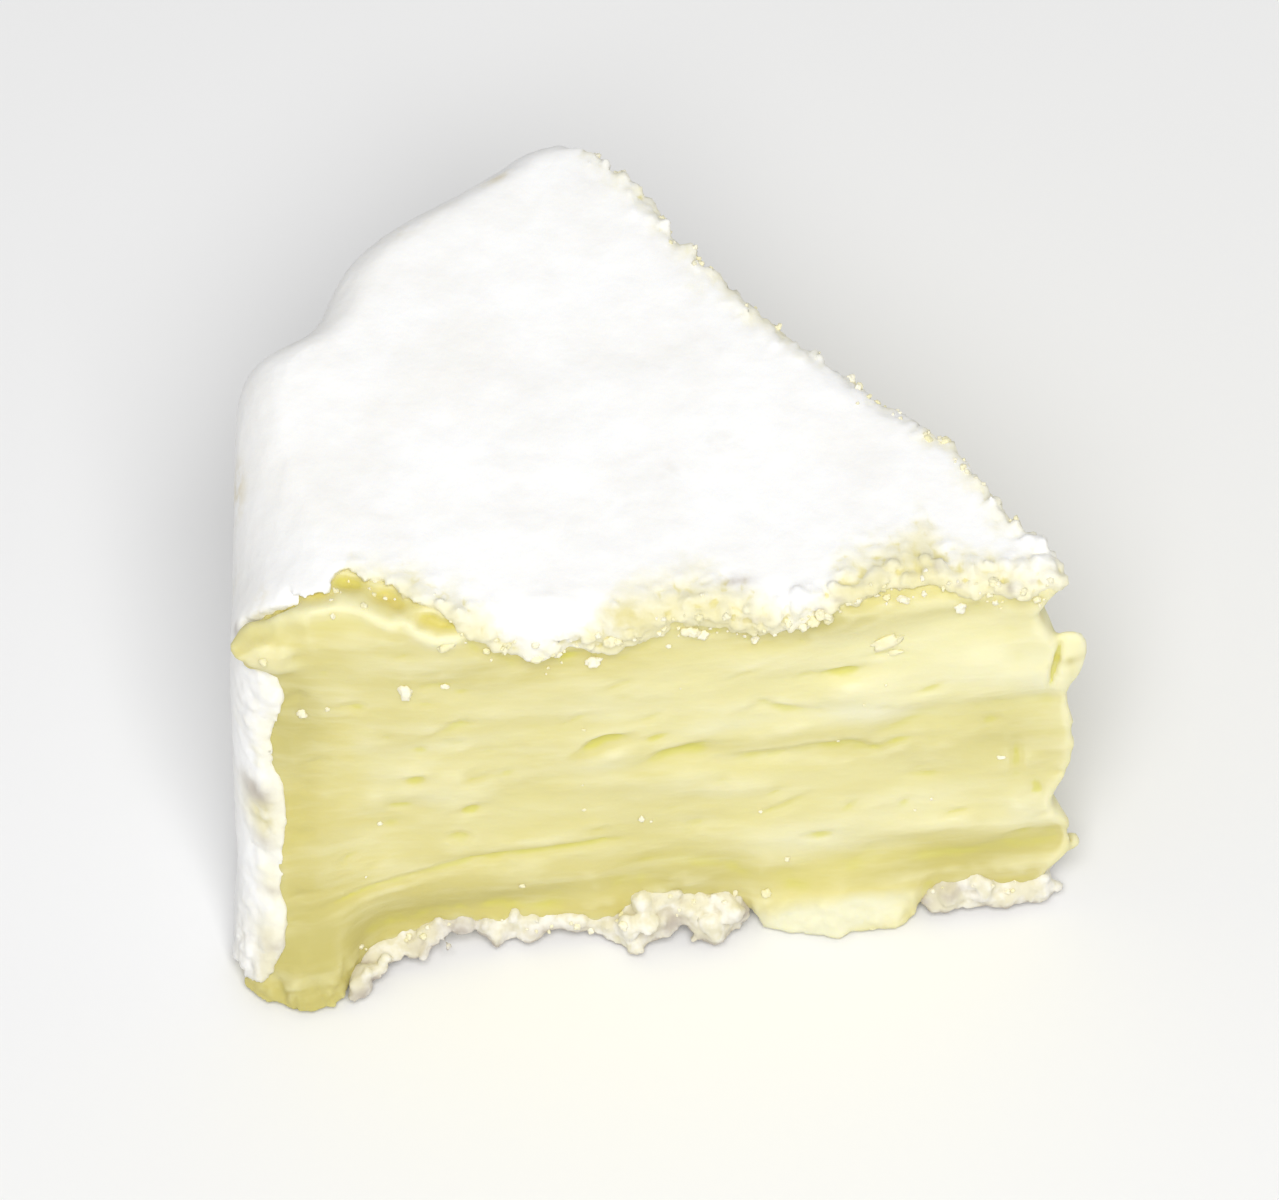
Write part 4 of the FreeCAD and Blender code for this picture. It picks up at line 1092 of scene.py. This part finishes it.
def paste_material():
    m = Tree("paste")
    wide = m.noise(m.scaled(1, 1, 1), 70.0, 2.0)
    blotch = m.noise(m.scaled(0.5, 0.5, 1.1), 260.0, 2.0, 0.5)
    streak = m.noise(m.scaled(0.35, 0.35, 1.6), 420.0, 3.0, 0.55)
    base = m.mix(m.map(wide, 0.35, 0.68), srgb(221, 212, 144), srgb(227, 219, 155))
    # painted light: paler over the upper part towards the tip, and paler paste along the smeared edge
    base = m.mix(m.math("MULTIPLY", m.attr("pale_and_painted_light"), 0.75), base, srgb(242, 237, 186))
    # painted shade: deeper ochre under the torn edge, towards the rim end and towards the foot
    painted_shade = m.math("ADD", m.attr("painted_shade"), m.math("MULTIPLY", m.math("SUBTRACT", wide, 0.5), 0.5))
    base = m.mix(m.map(painted_shade, 0.05, 1.15, 0.0, 1.0, False), base, srgb(212, 200, 122))
    base = m.mix(m.math("MULTIPLY", m.map(blotch, 0.42, 0.66), 0.22), base, srgb(247, 243, 203))
    # painted light and shade: bulges and proud places are painted paler, hollows and recesses a deeper and greener
    # yellow
    relief = m.attr("relief")
    dent = m.attr("dent")
    base = m.mix(m.math("MULTIPLY", m.map(dent, 0.02, -0.32), 0.50), base, srgb(247, 243, 205))
    base = m.mix(m.math("MULTIPLY", m.map(dent, 0.06, 0.62), 0.30), base, srgb(214, 205, 122))
    # listed patches: partly the paste's own tone, partly painted shade under the lip and in the low grooves and painted
    # highlight on bulges
    tone_and_shade = m.math("ADD", m.attr("tone_and_shade"), m.math("MULTIPLY", m.math("SUBTRACT", blotch, 0.5), 0.7))
    base = m.mix(m.math("MULTIPLY", m.map(tone_and_shade, 0.0, 1.0, 0.0, 1.0, False), 0.80), base, srgb(192, 182, 109))
    base = m.mix(m.math("MULTIPLY", m.map(tone_and_shade, 0.0, -1.0, 0.0, 1.0, False), 0.90), base, srgb(234, 232, 203))
    base = m.mix(m.math("MULTIPLY", m.map(relief, 0.0, 0.10), 0.45), base, srgb(246, 241, 202))
    base = m.mix(m.math("MULTIPLY", m.map(relief, -0.015, -0.11), 0.65), base, srgb(214, 209, 88))
    base = m.mix(m.math("MULTIPLY", m.map(streak, 0.45, 0.75), 0.22), base, srgb(244, 240, 205))
    # smeared crest at the rim end, and the pits behind it painted a deeper gold as painted shade
    base = m.mix(m.math("MULTIPLY", m.attr("crest"), 0.55, clamp=True), base, srgb(244, 240, 198))
    base = m.mix(m.math("MULTIPLY", m.math("MULTIPLY", m.attr("pit"), m.map(streak, 0.30, 0.60, 0.55, 1.0)), 0.72, clamp=True), base, srgb(222, 206, 122))
    m.put(m.bsdf.inputs["Base Color"], base)
    m.bsdf.inputs["Subsurface Weight"].default_value = 0.30
    m.bsdf.inputs["Subsurface Radius"].default_value = (1.0, 0.85, 0.40)
    m.bsdf.inputs["Subsurface Scale"].default_value = 0.0012
    m.bsdf.inputs["IOR"].default_value = 1.42
    m.bsdf.inputs["Specular IOR Level"].default_value = 0.4
    m.put(m.bsdf.inputs["Roughness"], m.map(m.noise(m.scaled(1, 1, 1), 900.0, 2.0), 0.3, 0.7, 0.42, 0.60))
    fine = m.noise(m.scaled(0.4, 0.4, 1.4), 1500.0, 3.0, 0.6)
    nrm = m.bump(fine, 0.35, 0.00012)
    m.put(m.bsdf.inputs["Normal"], nrm)
    return m.mat


def rind_material():
    m = Tree("rind")
    soft = m.noise(m.scaled(1, 1, 1), 160.0, 3.0, 0.55)
    grain = m.noise(m.scaled(1, 1, 1), 900.0, 3.0, 0.6)
    base = m.mix(m.map(soft, 0.3, 0.7), srgb(246, 245, 242), srgb(253, 253, 252))
    torn = m.noise(m.scaled(1, 1, 1), 520.0, 3.0, 0.6)
    torn2 = m.noise(m.scaled(1, 1, 1), 240.0, 2.0, 0.5)
    curd = m.attr("curd")
    ragged = m.math("ADD", m.math("MULTIPLY", m.math("SUBTRACT", torn, 0.5), 3.6),
                    m.math("MULTIPLY", m.math("SUBTRACT", torn2, 0.5), 3.6))
    ragged = m.math("ADD", ragged, m.math("MULTIPLY", curd, -1.1))
    cream = m.map(m.math("ADD", m.attr("cream"), ragged), -1.7, 2.3)
    base = m.mix(m.math("MULTIPLY", cream, 0.9), base, srgb(240, 235, 203))
    base = m.mix(m.math("MULTIPLY", m.map(m.math("ADD", m.attr("cream"), ragged), 1.0, 5.0), 0.75), base, srgb(226, 218, 164))
    # painted shade: the hollows of the torn lip are painted a darker yellow
    hollow_shade = m.math("MULTIPLY", m.map(m.attr("relief"), -0.02, -0.16), m.map(m.attr("cream"), -1.2, 0.8))
    base = m.mix(m.math("MULTIPLY", hollow_shade, 0.75), base, srgb(219, 209, 138))
    base = m.mix(m.math("MULTIPLY", m.math("MULTIPLY", m.attr("ochre"), m.map(torn, 0.30, 0.60, 0.5, 1.0)), 0.85, clamp=True), base, srgb(221, 212, 156))
    # the rim's rind beside the near cut: white, creamier towards the cut
    side = m.map(m.math("ADD", m.attr("edge"), ragged), 2.2, -0.6)
    side = m.math("MULTIPLY", side, m.attr("strip"))
    base = m.mix(m.math("MULTIPLY", side, 0.80), base, srgb(243, 239, 214))
    # foot: white lumps, cream between them, painted shade in its creases and painted shadow on its underside
    foot = m.math("MULTIPLY", m.attr("low"), m.map(m.math("ADD", torn, m.math("MULTIPLY", curd, -0.12)), 0.38, 0.60))
    base = m.mix(m.math("MULTIPLY", m.attr("low"), 0.75), base, srgb(236, 232, 218))
    base = m.mix(m.math("MULTIPLY", foot, 0.85), base, srgb(225, 219, 190))
    crease_shade = m.math("MULTIPLY", m.attr("low"), m.map(m.attr("relief"), -0.03, -0.20))
    base = m.mix(m.math("MULTIPLY", crease_shade, 0.55), base, srgb(196, 186, 158))
    # painted shadow under the lifted lower rind
    base = m.mix(m.math("MULTIPLY", m.attr("under"), 0.8), base, srgb(176, 164, 150))
    # grey smudges, with painted shadow in the gaps of the foot and lip and under the smear
    grey_and_shade = m.math("MULTIPLY", m.attr("grey_and_shade"), m.map(torn, 0.25, 0.55, 0.45, 1.0))
    base = m.mix(m.math("MULTIPLY", grey_and_shade, 0.95, clamp=True), base, srgb(172, 161, 152))
    # stains of the upper rind, and faint scratches painted as pale grey shade lines
    base = m.mix(m.math("MULTIPLY", m.math("MULTIPLY", m.attr("tan"), m.map(torn, 0.35, 0.60)), 0.9, clamp=True), base, srgb(226, 217, 190))
    base = m.mix(m.math("MULTIPLY", m.math("MULTIPLY", m.attr("scratch_shade"), m.map(torn2, 0.35, 0.60)), 0.6, clamp=True), base, srgb(232, 229, 224))
    m.put(m.bsdf.inputs["Base Color"], base)
    m.bsdf.inputs["Subsurface Weight"].default_value = 0.12
    m.bsdf.inputs["Subsurface Radius"].default_value = (1.0, 0.9, 0.75)
    m.bsdf.inputs["Subsurface Scale"].default_value = 0.0010
    m.bsdf.inputs["Roughness"].default_value = 0.85
    m.bsdf.inputs["Specular IOR Level"].default_value = 0.2
    m.bsdf.inputs["Sheen Weight"].default_value = 0.15
    m.bsdf.inputs["Sheen Roughness"].default_value = 0.6
    nrm = m.bump(grain, 0.5, 0.00012)
    m.put(m.bsdf.inputs["Normal"], nrm)
    return m.mat


def crumb_material():
    m = Tree("crumbs")
    n = m.noise(m.scaled(1, 1, 1), 1200.0, 2.0)
    base = m.mix(m.math("ADD", m.attr("shade"), m.math("SUBTRACT", n, 0.5), clamp=True),
                 srgb(247, 242, 220), srgb(236, 229, 184))
    m.put(m.bsdf.inputs["Base Color"], base)
    m.bsdf.inputs["Subsurface Weight"].default_value = 0.2
    m.bsdf.inputs["Subsurface Radius"].default_value = (1.0, 0.9, 0.6)
    m.bsdf.inputs["Subsurface Scale"].default_value = 0.0005
    m.bsdf.inputs["Roughness"].default_value = 0.7
    m.bsdf.inputs["Specular IOR Level"].default_value = 0.3
    return m.mat


paste_ob.data.materials.append(paste_material())
rind_ob.data.materials.append(rind_material())
crumb_ob.data.materials.append(crumb_material())
for ob in (paste_ob, rind_ob, crumb_ob):
    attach(ob, "root")
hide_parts(NODE)
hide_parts(NODE)


# =============================================================== floor and light
def floor():
    me = bpy.data.meshes.new("floor")
    s = 3.0
    me.from_pydata([(-s, -s, 0), (s, -s, 0), (s, s, 0), (-s, s, 0)], [], [(0, 1, 2, 3)])
    ob = bpy.data.objects.new("floor", me)
    bpy.context.scene.collection.objects.link(ob)
    ob.location.z = LO[2] - 0.0002
    m = Tree("floor")
    m.put(m.bsdf.inputs["Base Color"], m.mix(m.noise(m.scaled(1, 1, 1), 3.0, 2.0), (0.86, 0.86, 0.86, 1), (0.88, 0.88, 0.88, 1)))
    m.bsdf.inputs["Roughness"].default_value = 0.9
    m.bsdf.inputs["Specular IOR Level"].default_value = 0.1
    me.materials.append(m.mat)


def area(name, place, aim, size, watts, colour=(1, 1, 1)):
    d = bpy.data.lights.new(name, "AREA")
    d.shape = "SQUARE"
    d.size = size
    d.energy = watts
    d.color = colour
    ob = bpy.data.objects.new(name, d)
    bpy.context.scene.collection.objects.link(ob)
    ob.location = place
    ob.rotation_euler = (Vector(aim) - Vector(place)).to_track_quat("-Z", "Y").to_euler()
    ob.visible_camera = False
    return ob


floor()
world = bpy.data.worlds.new("studio")
bpy.context.scene.world = world
world.use_nodes = True
bg = world.node_tree.nodes.get("Background") or world.node_tree.nodes.new("ShaderNodeBackground")
bg.inputs[0].default_value = (1.0, 1.0, 1.0, 1.0)
bg.inputs[1].default_value = 0.42
area("key", (0.02, -0.46, 0.70), (0, 0, 0.01), 0.42, 5.3)

# =============================================================== camera
def camera():
    place = Vector(((-30.23 + OX) / 1000, (-601.45 + OY) / 1000, (834.17 + OZ) / 1000))
    aim = Vector(((-25.98 + OX) / 1000, (15.26 + OY) / 1000, (15.0 + OZ) / 1000))
    f = (aim - place).normalized()
    r = f.cross(Vector((0, 0, 1))).normalized()
    u = r.cross(f)
    roll = math.radians(-3.823)
    r2 = r * math.cos(roll) + u * math.sin(roll)
    u2 = -r * math.sin(roll) + u * math.cos(roll)
    cam = bpy.data.cameras.new("camera")
    cam.sensor_width = 36.0
    cam.lens = 8117.0 * 1.93 / 1279.0 * 36.0
    cam.clip_start, cam.clip_end = 0.1, 10.0
    ob = bpy.data.objects.new("camera", cam)
    bpy.context.scene.collection.objects.link(ob)
    rot = Matrix((r2, u2, -f)).transposed()
    ob.matrix_world = Matrix.Translation(place) @ rot.to_4x4()
    bpy.context.scene.camera = ob


camera()
vs = bpy.context.scene.view_settings
vs.view_transform = "Standard"
vs.look = "None"
vs.exposure = 0.0
vs.gamma = 1.0

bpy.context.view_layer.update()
print("script %.1f s" % (time.time() - T0))
